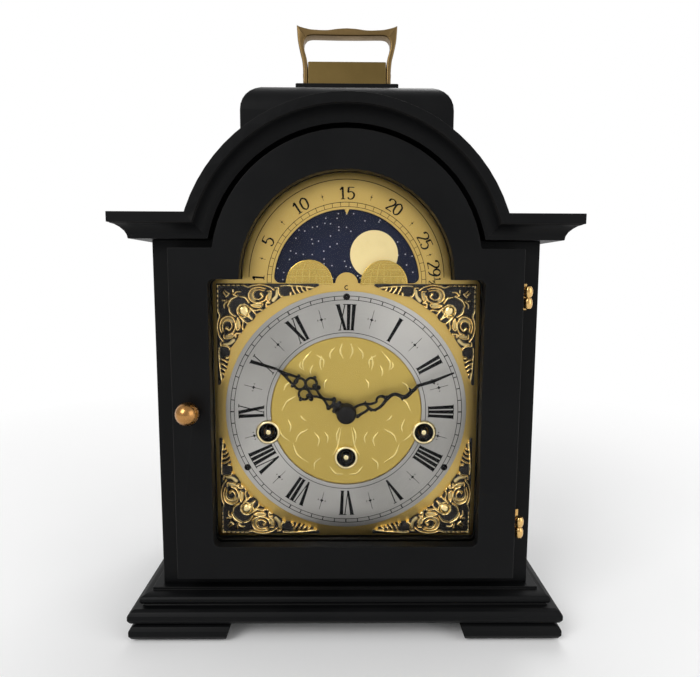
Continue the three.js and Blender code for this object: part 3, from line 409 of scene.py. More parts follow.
def silvered():
    """Silvering brushed round the dial: streaks run with the angle, so the noise is read along the radius; bright
    sectors by angle are a painted sheen in its colour.
    """
    maker = Maker("silvered_ring")
    shifted = maker.node("ShaderNodeMapping", {"vector_type": "POINT"}, Vector=maker.place())
    shifted.inputs["Location"].default_value = (0, 0, -DIAL_Z * MM)
    split = maker.node("ShaderNodeSeparateXYZ", Vector=shifted.outputs["Vector"])
    x, z = split.outputs["X"], split.outputs["Z"]
    radius = maker.math("SQRT", maker.math("ADD", maker.math("MULTIPLY", x, x), maker.math("MULTIPLY", z, z)))
    angle = maker.math("ARCTAN2", z, x)
    polar = maker.node("ShaderNodeCombineXYZ", X=radius, Y=maker.math("MULTIPLY", angle, 0.0012))
    lines = maker.node(
        "ShaderNodeTexNoise", Vector=polar.outputs["Vector"], Scale=5200.0, Detail=3.0
    ).outputs["Fac"]
    clouds = maker.noise(40.0, 4.0)
    # painted sheen: two waves of the angle lighten the colour towards pale silver in fixed sectors, standing in for
    # the highlights of the radial brushing
    slow_sheen = maker.math("SINE", maker.math("MULTIPLY", angle, 2.0))
    quick_sheen = maker.math("SINE", maker.math("MULTIPLY", angle, 7.0))
    painted_sheen = maker.math("ADD", maker.math("MULTIPLY", slow_sheen, 0.36), maker.math("MULTIPLY", quick_sheen, 0.14))
    tone = maker.ramp(
        maker.math("ADD", maker.math("MULTIPLY", lines, 0.5), maker.math("MULTIPLY", clouds, 0.5)), 0.0, 1.0,
        0.35, 0.65
    )
    colour = maker.blend(tone, (0.27, 0.265, 0.25, 1), (0.37, 0.36, 0.335, 1))
    maker.set(Base_Color=maker.blend(maker.ramp(painted_sheen, 0.0, 0.5, -0.5, 0.5), colour, (0.62, 0.6, 0.57, 1)))
    maker.set(Roughness=maker.ramp(lines, 0.36, 0.5, 0.3, 0.7))
    maker.surface.inputs["Metallic"].default_value = 0.85
    maker.surface.inputs["Anisotropic"].default_value = 0.8
    round_dial = maker.node("ShaderNodeVectorMath", {"operation": "CROSS_PRODUCT"})
    maker.put(round_dial.inputs[0], shifted.outputs["Vector"])
    round_dial.inputs[1].default_value = (0, 1, 0)
    maker.put(maker.surface.inputs["Tangent"], round_dial.outputs["Vector"])
    maker.set(Normal=maker.bump(lines, 0.12, 0.00008))
    return maker.material


def relief_metal(name, ground, ground_rough, colour, metallic_ground):
    """Raised work left bright over a ground of another finish, split by the height stored on each point."""
    maker = Maker(name)
    height = maker.node("ShaderNodeAttribute", {"attribute_name": "height"}).outputs["Fac"]
    high = maker.ramp(height, 0.0, 1.0, 0.12, 0.34)
    clouds = maker.noise(70.0, 4.0, 0.6)
    stipple = maker.node("ShaderNodeTexVoronoi", Vector=maker.place(), Scale=2400.0).outputs["Distance"]
    bright = maker.blend(
        maker.ramp(clouds, 0.0, 0.6, 0.45, 0.75), colour, tuple(c * 0.62 for c in colour[:3]) + (1,)
    )
    maker.set(Base_Color=maker.blend(high, ground, bright))
    maker.set(Roughness=maker.ramp(high, ground_rough, 0.27))
    maker.set(Metallic=maker.ramp(high, metallic_ground, 1.0))
    maker.set(Normal=maker.bump(stipple, maker.ramp(high, 0.5, 0.03), 0.00012))
    return maker.material


SILVER = silvered()
SPANDREL = relief_metal("gilt_over_black", (0.009, 0.007, 0.0075, 1), 0.5, (0.92, 0.72, 0.34, 1), 0.2)
EMBOSSED = relief_metal("embossed_centre", (0.49, 0.36, 0.095, 1), 0.44, (0.76, 0.62, 0.25, 1), 1.0)
GLOBES = relief_metal("engraved_globes", (0.72, 0.56, 0.2, 1), 0.36, (0.47, 0.33, 0.085, 1), 1.0)


MOON_ORBIT, MOON_RADIUS = 20.2, 12.2
MOON_TURN = 46.4  # degrees from the right to the moon that shows
PAINT_EDGE = 0.05  # half the width of the soft edge of a moon


def night_sky():
    """Night-blue paint with small stars, and two cream moons on opposite sides of the disc, as circles of
    distance."""
    maker = Maker("painted_moon_disc")
    where = maker.node("ShaderNodeMapping", Vector=maker.place())
    where.inputs["Location"].default_value = (0, 0, -MOON_Z * MM)
    flat = maker.node("ShaderNodeVectorMath", {"operation": "MULTIPLY"})
    maker.put(flat.inputs[0], where.outputs["Vector"])
    flat.inputs[1].default_value = (1, 0, 1)
    discs = []
    for turn in (0.0, pi):
        away = maker.node("ShaderNodeVectorMath", {"operation": "DISTANCE"})
        maker.put(away.inputs[0], flat.outputs["Vector"])
        at = radians(MOON_TURN) + turn
        away.inputs[1].default_value = (MOON_ORBIT * cos(at) * MM, 0, MOON_ORBIT * sin(at) * MM)
        inside, outside = (MOON_RADIUS - PAINT_EDGE) * MM, (MOON_RADIUS + PAINT_EDGE) * MM
        discs.append(maker.ramp(away.outputs["Value"], 1.0, 0.0, inside, outside))
    cream = maker.math("MAXIMUM", *discs)
    split = maker.node("ShaderNodeSeparateXYZ", Vector=where.outputs["Vector"])
    level = maker.node("ShaderNodeCombineXYZ", X=split.outputs["X"], Y=split.outputs["Z"])
    cells = maker.node(
        "ShaderNodeTexVoronoi", {"voronoi_dimensions": "2D"}, Vector=level.outputs["Vector"], Scale=290.0
    )
    dot = maker.ramp(cells.outputs["Distance"], 1.0, 0.0, 0.05, 0.12)
    chosen = maker.node("ShaderNodeSeparateColor", Color=cells.outputs["Color"]).outputs["Red"]
    stars = maker.math("MULTIPLY", dot, maker.math("GREATER_THAN", chosen, 0.5))
    paint = maker.blend(
        maker.ramp(maker.noise(60.0, 3.0), 0, 1, 0.3, 0.7), (0.004, 0.006, 0.02, 1), (0.007, 0.011, 0.036, 1)
    )
    sky = maker.blend(stars, paint, (0.6, 0.6, 0.62, 1))
    maria = maker.ramp(maker.noise(110.0, 4.0, 0.6), 0.0, 0.35, 0.5, 0.7)
    face = maker.blend(maria, (0.84, 0.68, 0.33, 1), (0.76, 0.6, 0.27, 1))
    maker.set(Base_Color=maker.blend(cream, sky, face))
    maker.surface.inputs["Roughness"].default_value = 0.5
    maker.surface.inputs["Specular IOR Level"].default_value = 0.2
    return maker.material


def clear_glass():
    """Thin clear glass with a faint smear in its gloss."""
    maker = Maker("clear_glass")
    smear = maker.noise(18.0, 4.0, 0.6)
    maker.set(Base_Color=(1, 1, 1, 1), Roughness=maker.ramp(smear, 0.0, 0.03, 0.4, 0.8))
    maker.surface.inputs["Transmission Weight"].default_value = 1.0
    maker.surface.inputs["IOR"].default_value = 1.1
    return maker.material


NIGHT = night_sky()
GLASS = clear_glass()

# ---------------------------------------------------------------- case, doors and movement: solids with worked edges
# how the grain runs, and how far the edges are rounded
WOODEN = {
    "plinth": (WOOD_ALONG, 0.3),
    "foot_front_left": (WOOD_ALONG, 0.4), "foot_front_right": (WOOD_ALONG, 0.4),
    "foot_rear_left": (WOOD_ALONG, 0.4), "foot_rear_right": (WOOD_ALONG, 0.4),
    "side_panel_left": (WOOD_UP, 0.4), "side_panel_right": (WOOD_UP, 0.4),
    "front_frame": (WOOD_UP, 0.4), "back_frame": (WOOD_UP, 0.4),
    "roof_vault": (WOOD_DEEP, 0.3), "cornice_front": (WOOD_ALONG, 0.3),
    "cornice_left": (WOOD_DEEP, 0.3), "cornice_right": (WOOD_DEEP, 0.3),
    "caddy_top": (WOOD_ALONG, 0.6), "seat_board": (WOOD_ALONG, 0.4),
    "door_frame": (WOOD_UP, 0.7), "door_bead": (WOOD_UP, 0.3), "rear_door": (WOOD_UP, 0.5),
}
for node, (material, width) in WOODEN.items():
    clean_copy(node, material, width)

METAL = {
    "hinge_upper_case": (BRASS, 0.15), "hinge_upper_door": (BRASS, 0.15),
    "hinge_lower_case": (BRASS, 0.15), "hinge_lower_door": (BRASS, 0.15),
    "rear_door_knob": (COPPERY, 0.1), "rear_hinge_case": (BRASS, 0.15), "rear_hinge_door": (BRASS, 0.15),
    "hour_wheel": (PLATES, 0), "minute_wheel": (PLATES, 0), "centre_wheel": (PLATES, 0),
    "front_plate": (PLATES, 0.25), "back_plate": (PLATES, 0.25), "balance_wheel": (PLATES, 0.1),
    "barrel_strike": (PLATES, 0), "barrel_time": (PLATES, 0), "barrel_chime": (PLATES, 0),
}
for node, (material, width) in METAL.items():
    clean_copy(node, material, width)
for train in WINDING:
    clean_copy("winding_arbor_" + train, STEEL, 0.2)
clean_copy("dial_plate", GILT, 0.15)
clean_copy("chapter_ring", SILVER, 0.15)
clean_copy("moon_disc", NIGHT, 0)
for pane in ("door_glass", "side_glass_left", "side_glass_right"):
    clean_copy(pane, GLASS, 0)


# ---------------------------------------------------------------- knob and winding bushes
DOOR_THICK = 13.3  # face of the door in front of the case


def door_knob():
    """A ball on a waisted neck: radius is the sine and distance the cosine of one angle, then the neck and
    rose."""
    low, high = (np.array(corner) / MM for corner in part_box("door_knob"))
    x, z, radius, face = (
        low[0] + high[0]
    ) / 2, (low[2] + high[2]) / 2, (high[2] - low[2]) / 2, CASE_FRONT - DOOR_THICK
    angle = np.linspace(0.02, 2.5, 26)
    ball = np.stack([radius * np.sin(angle), -radius * (1.15 + np.cos(angle))], -1)
    neck = smoothed(
        [
            [radius * 0.52, -1.5], [radius * 0.46, -1.1], [radius * 0.52, -0.8], [radius * 0.64, -0.5],
            [radius * 0.64, 0]
        ],
        12
    )
    points, faces = turned(np.vstack([[[0.01, -radius * 2.15]], ball, neck]), "y", (x, face, z), 48)
    lay("door_knob_turned", points, faces, COPPERY, "front_door", ["door_knob"])


BUSH_LIP = [[4.9, 1.2], [4.9, -0.6], [5.2, -0.95], [5.6, -0.95], [6.05, -0.5], [6.15, 0.6], [6.15, 0.85]]
# the bore and floor behind a collar, in black as painted shade inside the winding hole
BUSH_SHADE_WELL = [[4.95, -0.3], [4.75, 0.5], [4.7, 1.9], [2.7, 2.0]]
ARBOR_TIP = [[0.02, -0.12], [0.9, -0.1], [1.25, 0], [1.35, 0.2]]  # each pair is a radius and a depth


def bushes():
    """Domed collars round the winding holes: a quarter-round lip swept about each hole, and behind it a black bore
    and floor that paint the shade inside the hole."""
    lip = smoothed(BUSH_LIP, 26)
    for train, (x, z) in WINDING.items():
        points, faces = turned(lip, "y", (x, RING_FACE, DIAL_Z + z), 56)
        lay(f"bush_{train}_turned", points, faces, PALE_BRASS, "case", [f"winding_bush_{train}"])
        # black bore and floor: painted shade where the winding hole would be dark
        points, faces = turned(BUSH_SHADE_WELL, "y", (x, RING_FACE, DIAL_Z + z), 40)
        lay(f"shade_well_{train}", points, faces, HAND_BLACK, "case")
        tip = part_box("winding_arbor_" + train)[0].y / MM
        points, faces = turned(ARBOR_TIP, "y", (x, tip, DIAL_Z + z), 28)
        lay(f"arbor_tip_{train}", points, faces, PALE_BRASS, train + "_arbor")


# ---------------------------------------------------------------- carrying handle
PIVOT_Z = (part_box("handle_bar")[0].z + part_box("handle_pad")[1].z) / 2 / MM + 4.4
BAIL = [  # outer x, outer height, inner x, inner height; heights from the pivot
    [[25, -8.2, 22.5, -8.2], [25.05, -3.4, 22.5, -3.4], [25.1, 2.6, 22.5, 2.6], [25.7, 8.1, 22.9, 8.1],
     [26.7, 12.1, 24, 12.2], [27.4, 15.1, 24.6, 15.4], [28, 18.6, 24.5, 17.2], [28.3, 22.6, 24.2, 18.4],
     [28.5, 26.4, 23.4, 19.6]],
    [[28.5, 26.4, 23.4, 19.6], [26.6, 25.6, 22.4, 20.4], [23.5, 24.8, 20.5, 20.9], [20, 24.2, 18, 21],
     [12, 23.9, 12, 20.9], [5, 24.7, 5, 20.8], [0, 25, 0, 20.8]],
]
ROUND = np.stack([np.cos(np.linspace(0, pi / 2, 5)), np.sin(np.linspace(0, pi / 2, 5))], -1)


def rounded_corners(low, high, radius):
    """A rectangle as a loop whose corners are quarter circles."""
    turns = [
        (high[0], high[1], 1, 1), (low[0], high[1], -1, 1), (low[0], low[1], -1, -1), (high[0], low[1], 1, -1)
    ]
    loop = [
        np.array([x - a * radius, y - b * radius]) + ROUND[:: a * b] * [a * radius, b * radius]
        for x, y, a, b in turns
    ]
    return np.vstack(loop)


def upright_block(x, y, low, high, edge, top_edge):
    """A block with rounded uprights and a rounded upper edge: its outline drawn in by one less the cosine of
    each rise."""
    rise = np.linspace(0, pi / 2, 5)
    levels = [(0, low)] + [(top_edge * (1 - cos(a)), high - top_edge + top_edge * sin(a)) for a in rise]
    rings = [
        np.column_stack([rounded_corners((-x + s, y[0] + s), (x - s, y[1] - s), edge), np.full(20, z)])
        for s, z in levels
    ]
    points = np.vstack(rings)
    faces = grid_faces(len(rings), 20, wrap=True) + [
        list(range(19, -1, -1)), list(range(len(points) - 20, len(points)))
    ]
    return points, faces


BAIL_FOOT = 8.2  # the bail's feet below the pivot
PLATE_HALF, PLATE_HALF_DEEP, PLATE_LOW, PLATE_TOP = 22.2, 4.4, 8.6, 6.6  # low and top from the pivot
PAD_HALF, PAD_HALF_DEEP, PAD_LOW = 28.5, 15, 14.8
# the pins in the plate: radius, and distance from the middle
PIN = [[0.02, -25.3], [1.3, -25.3], [1.6, -25], [1.6, 25], [1.3, 25.3], [0.02, 25.3]]


def carrying_handle():
    """The bail is a loop of rounded rectangles between an outer and an inner curve; its depth is a circle's
    near the feet."""
    low, high = (np.array(corner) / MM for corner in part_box("carrying_handle"))
    middle, deep = (low[1] + high[1]) / 2, (high[1] - low[1]) / 2
    half = np.vstack([smoothed(BAIL[0], 46), smoothed(BAIL[1], 40)])
    whole = np.vstack([half, (half * [-1, 1, -1, 1])[-2::-1]])
    foot = np.clip(whole[:, 1] + BAIL_FOOT, 0.02, deep)
    depth = np.sqrt(deep**2 - (deep - foot) ** 2)
    rings = []
    for (ox, oz, ix, iz), d in zip(whole, depth):
        thick = np.hypot(ox - ix, oz - iz)
        loop = rounded_corners((0, -d), (thick, d), min(0.8, d * 0.6, thick * 0.3))
        share = loop[:, :1] / thick
        rings.append(
            np.column_stack([ix + (ox - ix) * share, middle + loop[:, 1:], iz + (oz - iz) * share + PIVOT_Z])
        )
    points = np.vstack(rings)
    faces = grid_faces(len(rings), 20, wrap=True) + [
        list(range(20)), list(range(len(points) - 1, len(points) - 21, -1))
    ]
    lay("bail_cast", points, faces, BAIL_BRASS, "handle", ["carrying_handle"])
    plate = upright_block(
        PLATE_HALF, (middle - PLATE_HALF_DEEP, middle + PLATE_HALF_DEEP), PIVOT_Z - PLATE_LOW,
        PIVOT_Z + PLATE_TOP, 0.5, 0.5
    )
    pin = turned(PIN, "y", (0, 0, 0), 24)
    pin = (pin[0][:, [1, 0, 2]] * [1, -1, 1] + [0, middle, PIVOT_Z], pin[1])
    points, faces = gathered([plate, pin])
    lay("bail_plate", points, faces, OLD_BRASS, "case", ["handle_bar"], smooth=False)
    points, faces = upright_block(
        PAD_HALF, (middle - PAD_HALF_DEEP, middle + PAD_HALF_DEEP), PIVOT_Z - PAD_LOW, PIVOT_Z - PLATE_LOW,
        0.6, 0.5
    )
    lay("handle_base", points, faces, WOOD_ALONG, "case", ["handle_pad"], smooth=False)


door_knob()
bushes()
carrying_handle()


# ---------------------------------------------------------------- printing on the chapter ring and the arch
def bent(part, radius, degrees):
    """A flat drawing in (across, up) wrapped to the dial: up adds to the radius and across turns about the
    centre."""
    across, up = part[:, 0], part[:, 1]
    angle = radians(90 - degrees) - across / radius
    return np.stack([(radius + up) * np.cos(angle), (radius + up) * np.sin(angle)], -1)


def stroke(a, b, width, other=None):
    """A straight stroke as four corners, cut square to the lines of type."""
    end = width if other is None else other
    return np.array(
        [[a[0] - width / 2, a[1]], [a[0] + width / 2, a[1]], [b[0] + end / 2, b[1]], [b[0] - end / 2, b[1]]]
    )


TALL = 6.7  # half the height of a numeral


def letter(kind, x):
    """Strokes of I, V or X with hairline serifs, and how wide the letter stands."""
    thick, thin, serif = 1.72, 0.5, 0.4
    bar = lambda a, b, y: np.array([[a, y], [b, y], [b, y + serif], [a, y + serif]])
    top, low = TALL - serif, -TALL
    if kind == "I":
        return [
            stroke((x, -TALL), (x, TALL), thick), bar(x - 1.15, x + 1.15, top), bar(x - 1.15, x + 1.15, low)
        ]
    if kind == "V":
        return [stroke((x, -TALL), (x - 1.7, TALL), thick * 0.7, thick), stroke((x, -TALL), (x + 1.7, TALL), thin),
                bar(x - 2.8, x - 0.7, top), bar(x + 0.9, x + 2.5, top)]
    return [stroke((x + 1.6, -TALL), (x - 1.6, TALL), thick), stroke((x - 1.6, -TALL), (x + 1.6, TALL), thin),
            bar(x - 2.7, x - 0.6, top), bar(x + 0.8, x + 2.4, top), bar(x - 2.4, x - 0.8, low),
            bar(x + 0.6, x + 2.7, low)]


WIDE = {"I": 2.35, "V": 4.3, "X": 4.4}


def numeral(word):
    """Letters set side by side and centred."""
    widths = [WIDE[c] for c in word]
    starts = np.cumsum([0] + widths)[:-1] + np.array(widths) / 2 - sum(widths) / 2
    return [s for c, x in zip(word, starts) for s in letter(c, x)]


def band(inner, outer, start=0.0, end=360.0, count=180):
    """Part of a flat ring: two radii swept from one angle to another."""
    angle = np.radians(np.linspace(start, end, count))
    both = np.stack([np.stack([r * np.cos(angle), r * np.sin(angle)], -1) for r in (outer, inner)])
    return both.reshape(-1, 2), grid_faces(2, count)


INK_PROUD = 0.03


def printed(name, drawings, centre_z, face):
    """Flat drawings laid just proud of a face and turned to the front; a drawing is its corners, or its
    points and faces."""
    parts = []
    for drawing in drawings:
        flat, faces = drawing if isinstance(drawing, tuple) else (drawing, [list(range(len(drawing)))])
        a, b, c = flat[faces[0][:3]]
        if np.cross(b - a, c - b) < 0:
            faces = [f[::-1] for f in faces]
        points = facing_front(flat[:, 0], flat[:, 1] + centre_z, np.full(len(flat), face - INK_PROUD))
        parts.append((points, faces))
    points, faces = gathered(parts)
    lay(name, points, faces, INK, "case", smooth=False)


TICK_RADIUS = 50  # where a tick has its full width


def tick(degrees, inner, outer, width):
    """A radial line of even width."""
    low, high, half = inner - TICK_RADIUS, outer - TICK_RADIUS, width / 2
    return bent(np.array([[-half, low], [half, low], [half, high], [-half, high]]), TICK_RADIUS, degrees)


def lozenge(degrees, radius, long, wide):
    """A four-pointed mark with hollow sides, drawn as eight points about its centre."""
    points = np.array([[0, long], [wide * 0.22, long * 0.22], [wide, 0], [wide * 0.22, -long * 0.22],
                       [0, -long], [-wide * 0.22, -long * 0.22], [-wide, 0], [-wide * 0.22, long * 0.22]])
    return bent(points, radius, degrees)


MINUTE_LINES = (59.9, 60.22), (57.95, 58.25)  # inner and outer radius of each line
INNER_LINE = (41.2, 41.5)
NUMERAL_RADIUS, STAR_RADIUS = 49.3, 49.6


def ring_printing():
    """Minutes, hours, and between two hours a star with a line through it and a dot on either side."""
    hours = ["XII", "I", "II", "III", "IIII", "V", "VI", "VII", "VIII", "IX", "X", "XI"]
    drawings = [band(*radii) for radii in (*MINUTE_LINES, INNER_LINE)]
    drawings += [tick(6 * m, 58.0, 60.0, 0.36 if m % 5 else 0.5) for m in range(60)]
    for place, word in enumerate(hours):
        drawings += [bent(s, NUMERAL_RADIUS, place * 30) for s in numeral(word)]
        middle = place * 30 + 15
        drawings += [lozenge(middle, STAR_RADIUS, 2.5, 1.0), tick(middle, 45.0, 54.6, 0.22)]
        drawings += [lozenge(middle + side, STAR_RADIUS, 0.8, 0.4) for side in (-2.2, 2.2)]
    printed("ring_printing", drawings, DIAL_Z, RING_FACE)


def line(points, width=0.75, count=18):
    """A pen line, thicker where it runs upright: points moved to either side by a share of its slope."""
    curve = smoothed(points, count)
    along = np.gradient(curve, axis=0)
    along = along / np.linalg.norm(along, axis=1, keepdims=True)
    normal = np.stack([-along[:, 1], along[:, 0]], -1) * width / 2 * (0.55 + 0.75 * np.abs(along[:, 1:]))
    return np.vstack([curve + normal, curve - normal]), grid_faces(2, count)


DIGITS = {
    "1": [
        [[0, 0], [0, 0.5], [0, 1]], [[-0.22, 0.78], [-0.1, 0.88], [0, 1]],
        [[-0.2, 0.02], [0, 0.02], [0.2, 0.02]]
    ],
    "2": [
        [[-0.26, 0.72], [-0.2, 0.93], [0.05, 1], [0.26, 0.86], [0.22, 0.6], [-0.05, 0.3], [-0.28, 0.04]],
        [[-0.28, 0.04], [0, 0.05], [0.3, 0.04]]
    ],
    "5": [[[0.24, 0.97], [0, 0.97], [-0.2, 0.97]], [[-0.2, 0.97], [-0.22, 0.75], [-0.24, 0.54]],
          [[-0.24, 0.54], [0, 0.62], [0.24, 0.48], [0.26, 0.22], [0.08, 0.02], [-0.14, 0.02], [-0.27, 0.14]]],
    "0": [
        [
            [0, 1], [-0.24, 0.8], [-0.27, 0.5], [-0.24, 0.2], [0, 0], [0.24, 0.2], [0.27, 0.5], [0.24, 0.8],
            [0, 1]
        ]
    ],
    "9": [
        [
            [0.24, 0.68], [0.08, 0.44], [-0.16, 0.46], [-0.27, 0.7], [-0.14, 0.95], [0.08, 0.99], [0.25, 0.8],
            [0.22, 0.4], [0.04, 0.08], [-0.16, 0.02]
        ]
    ],
}


def figures(word, degrees, radius, tall):
    """Figures drawn with strokes and wrapped round the arch; a slash stands for a small half."""
    step, drawings = tall * 0.68, []
    start = -step * (len(word) - 1) / 2
    for place, mark in enumerate(word):
        x, marks = start + place * step, [(mark, 0, 0, 1.0)]
        if mark == "/":
            marks = [("1", -0.12, 0.55, 0.45), ("2", 0.12, -0.02, 0.45)]
            flat = np.array(
                [
                    [x - 0.32 * tall, 0.42 * tall], [x + 0.32 * tall, 0.5 * tall],
                    [x + 0.32 * tall, 0.56 * tall], [x - 0.32 * tall, 0.48 * tall]
                ]
            )
            drawings.append(bent(flat - [0, tall / 2], radius, degrees))
        for name, dx, dy, size in marks:
            for path in DIGITS[name]:
                flat, faces = line(
                    np.array(path) * size * tall + [x + dx * tall, (dy - 0.5) * tall], 0.2 + 0.55 * size
                )
                drawings.append((bent(flat, radius, degrees), faces))
    return drawings


ARCH_MIDDLE = 184.5  # height of the middle of the dial's arch, which only its outer line follows


DAY_RADIUS, DAY_TALL, MARK_RADIUS = 44.9, 6.0, 44.6
DAYS = {"1": -86.5, "5": -62, "10": -31, "15": 0, "20": 32, "25": 61.5, "29/": 83.0}
DAY_MARKS = (-74, -47, -16, 16, 47.5, 71)  # degrees from upright, as in DAYS


def arch_printing():
    """The days of the moon round the window, a mark for every second day, and the line outside them."""
    drawings = [band(38.1, 38.35, 0, 180), band(40.25, 40.55, 0, 180)]
    drawings += [tick(-90 + 180 * k / 59, 38.2, 40.4, 0.32) for k in range(0, 60, 2)]
    for word, degrees in DAYS.items():
        drawings += figures(word, degrees, DAY_RADIUS, DAY_TALL)
    for degrees in DAY_MARKS:
        drawings += [lozenge(degrees, MARK_RADIUS, 1.6, 0.6), tick(degrees, 42.6, 45.6, 0.2)]
    printed("arch_printing", drawings, MOON_Z, PLATE_FACE)
    printed("arch_line", [band(49.35, 49.7, 1, 179)], ARCH_MIDDLE, PLATE_FACE)


def arch_pointer():
    """A small gilt dart that hangs into the window from its rim: three corners, raised along the middle."""
    top, tip = MOON_Z + 37.1, MOON_Z + 34.2
    points = [
        [-1.3, PLATE_FACE, top], [1.3, PLATE_FACE, top], [0, PLATE_FACE, tip], [0, PLATE_FACE - 0.4, top],
        [0, PLATE_FACE + 0.6, top]
    ]
    lay(
        "arch_pointer", points, [[0, 2, 3], [3, 2, 1], [0, 4, 2], [4, 1, 2], [0, 3, 4], [3, 1, 4]], GILT,
        "case", smooth=False
    )


ring_printing()
arch_printing()
arch_pointer()


# ---------------------------------------------------------------- raised work: heights from distance to drawn curves
def ridges(x, z, curves):
    """Height field in 0..1: each curve is a round ridge, the square root of one less (distance over width)
    squared."""
    height = np.zeros(x.shape)
    for path, widths, tall, lobes in curves:
        count = len(path)
        width = np.interp(np.linspace(0, 1, count), np.linspace(0, 1, len(widths)), widths)
        width = width * (1 + 0.28 * np.cos(np.linspace(0, 2 * pi * lobes, count))) if lobes else width
        for start in range(0, count, 40):
            piece, half = path[start : start + 41], width[start : start + 41]
            away = np.sqrt((x[..., None] - piece[:, 0]) ** 2 + (z[..., None] - piece[:, 1]) ** 2) / half
            height = np.maximum(height, tall * np.sqrt(np.clip(1 - away.min(-1) ** 2, 0, 1)))
    return height


def swapped(curves):
    """The same curves on the other side of the corner's diagonal."""
    return [(path[:, ::-1], widths, tall, lobes) for path, widths, tall, lobes in curves]


CORNER = 66.2  # half the square that the corner pieces fill


def spandrel_curves():
    """Curves of one corner, drawn as (along the top edge, down) from the outer corner, then doubled about
    the diagonal."""
    vein = lambda points, width, tall=0.9, lobes=0, count=70: (
        smoothed(points, count), np.atleast_1d(width), tall, lobes
    )
    half = [
        vein(
            [[14, 0.9], [16.4, 1.8], [18.8, 1.0], [22.8, 0.6], [27, 1.6], [29.4, 3.2]], [0.4, 0.55, 0.4, 0.5],
            0.9
        ),
        vein(
            [[25, 2.6], [21.8, 1.9], [18.2, 2.9], [16.6, 5.8], [17.8, 8.6], [21, 9.7], [24.6, 8.6], [26, 6]],
            [0.4, 0.6, 0.45, 0.6], 1.0, 0, 120
        ),
        vein(
            [[24.4, 3.6], [21.6, 3.2], [19.2, 4.4], [19.2, 7], [21.6, 8], [23.6, 6.6], [22.8, 5.2]],
            [0.35, 0.5, 0.4, 0.9], 1.0, 0, 100
        ),
        vein([[20, 3], [18.4, 5.6], [19.2, 8.2]], [1.1, 1.3], 0.24),
        vein([[26, 3.8], [27.9, 4], [27.8, 7], [26.4, 9], [25.6, 7.6]], [0.35, 0.45], 0.95),
        vein([[27, 5], [26.8, 7.6]], [0.9], 0.26),
        vein(
            [[17.6, 10.8], [20.6, 10.2], [23.6, 10.4], [22.6, 11.9], [19.4, 11.8], [17.6, 10.8]],
            [0.35, 0.45], 0.9
        ),
        vein([[19, 11], [22.4, 11.1]], [0.6], 0.3),
        vein([[16.8, 12], [19.4, 13.6], [22.4, 13.2], [24.6, 14.2]], [0.5, 0.4, 0.7], 0.95),
        vein([[25.4, 11.8], [25.6, 9.8], [27, 9.6]], [0.5, 0.7], 0.9),
        vein([[27, 11.6], [30, 10.4], [32.2, 8.4], [33.6, 6.2]], [0.7, 0.4, 0.5], 0.95),
        vein([[29, 8.4], [30.6, 6.4], [31, 3.6]], [1.2, 0.8], 0.3),
        vein(
            [[30, 2], [31.6, 2.2], [31.9, 4.6], [33.2, 6.6], [35.6, 7.1], [37.6, 6.3], [37.8, 4.8]],
            [0.4, 0.55, 0.5, 0.8], 1.0
        ),
        vein([[33, 1.2], [36, 1.0], [44, 1.4], [52.6, 2.4]], [0.4, 0.45, 0.7], 0.85, 5),
        vein([[37.8, 6.6], [42, 5.8], [47, 4.5], [52.8, 2.8]], [0.5, 0.5, 0.6], 0.9, 6),
        vein(
            [[26.8, 11.6], [24.6, 13.8], [22.2, 15.2], [20.6, 16.2], [20.8, 18.2], [19.4, 19.4]],
            [0.7, 0.5, 0.7, 0.5], 1.0, 5, 90
        ),
        vein([[12.2, 6.6], [14.8, 7.2], [16.7, 9.8]], [0.4, 0.75, 0.4], 1.0),
        vein([[17.2, 12.6], [18.6, 13.8], [20, 15.4]], [0.35, 0.65, 0.35], 0.9),
        vein([[3.6, 4.4], [5.4, 6.4], [6.8, 5.0]], [0.25, 0.4, 0.25], 0.7),
        vein([[8.6, 3.2], [8.7, 4.4]], [0.35], 0.8),
        vein([[9.4, 5.4], [10.6, 4.2], [12.4, 4.2]], [0.3, 0.5, 0.3], 0.85),
        vein([[5.2, 8.4], [6.2, 9.6], [6.0, 11]], [0.3, 0.5, 0.3], 0.85),
        vein([[31.6, 9.6], [34, 8.4], [37.4, 8.0], [40.4, 7.2]], [0.4, 0.6, 0.4], 0.9, 5),
        vein([[14.6, 16.2], [16.2, 16.8], [18, 18.2]], [0.4, 0.6, 0.4], 0.9),
    ]
    half += [vein([[a, 0.95], [a + 1.1, 1.0]], [0.36], 0.75, 0, 6) for a in (1.0, 3.4, 5.8, 8.2, 10.6, 13.0)]
    half += [
        vein([[a, 1.4], [a + 0.7, 3.2], [a + 2.2, 5.9 - 0.28 * (a - 38)]], [0.3, 0.6, 0.4], 0.9)
        for a in (38.4, 40.8, 43.2, 45.6)
    ]
    middle = [
        vein([[6.0, 11.4], [7.6, 8.2], [11.0, 6.4]], [0.45, 0.85, 0.45], 1.0),
        vein([[13.6, 13.6], [14.0, 14.0]], [2.75, 2.5], 1.0, 0, 4),
        (spiral((13.8, 13.8), (3.3, 0), (3.3, 360), 50), np.array([0.32]), 0.5, 9),
    ]
    return half + swapped(half) + middle


# scalloped lip of a corner piece: angle and radius from the dial's centre, mirrored about 45 degrees
LIP = [
    [77.9, 66.7], [74, 65.4], [69.1, 65.6], [64.8, 66.2], [61.4, 67.9], [57.6, 67.3], [54.4, 67.5],
    [51.5, 67.2], [48, 67.9], [45, 67.3]
]


GROUND, RELIEF = 1.3, 1.6  # thickness of a corner piece, and how far its ridges rise above that


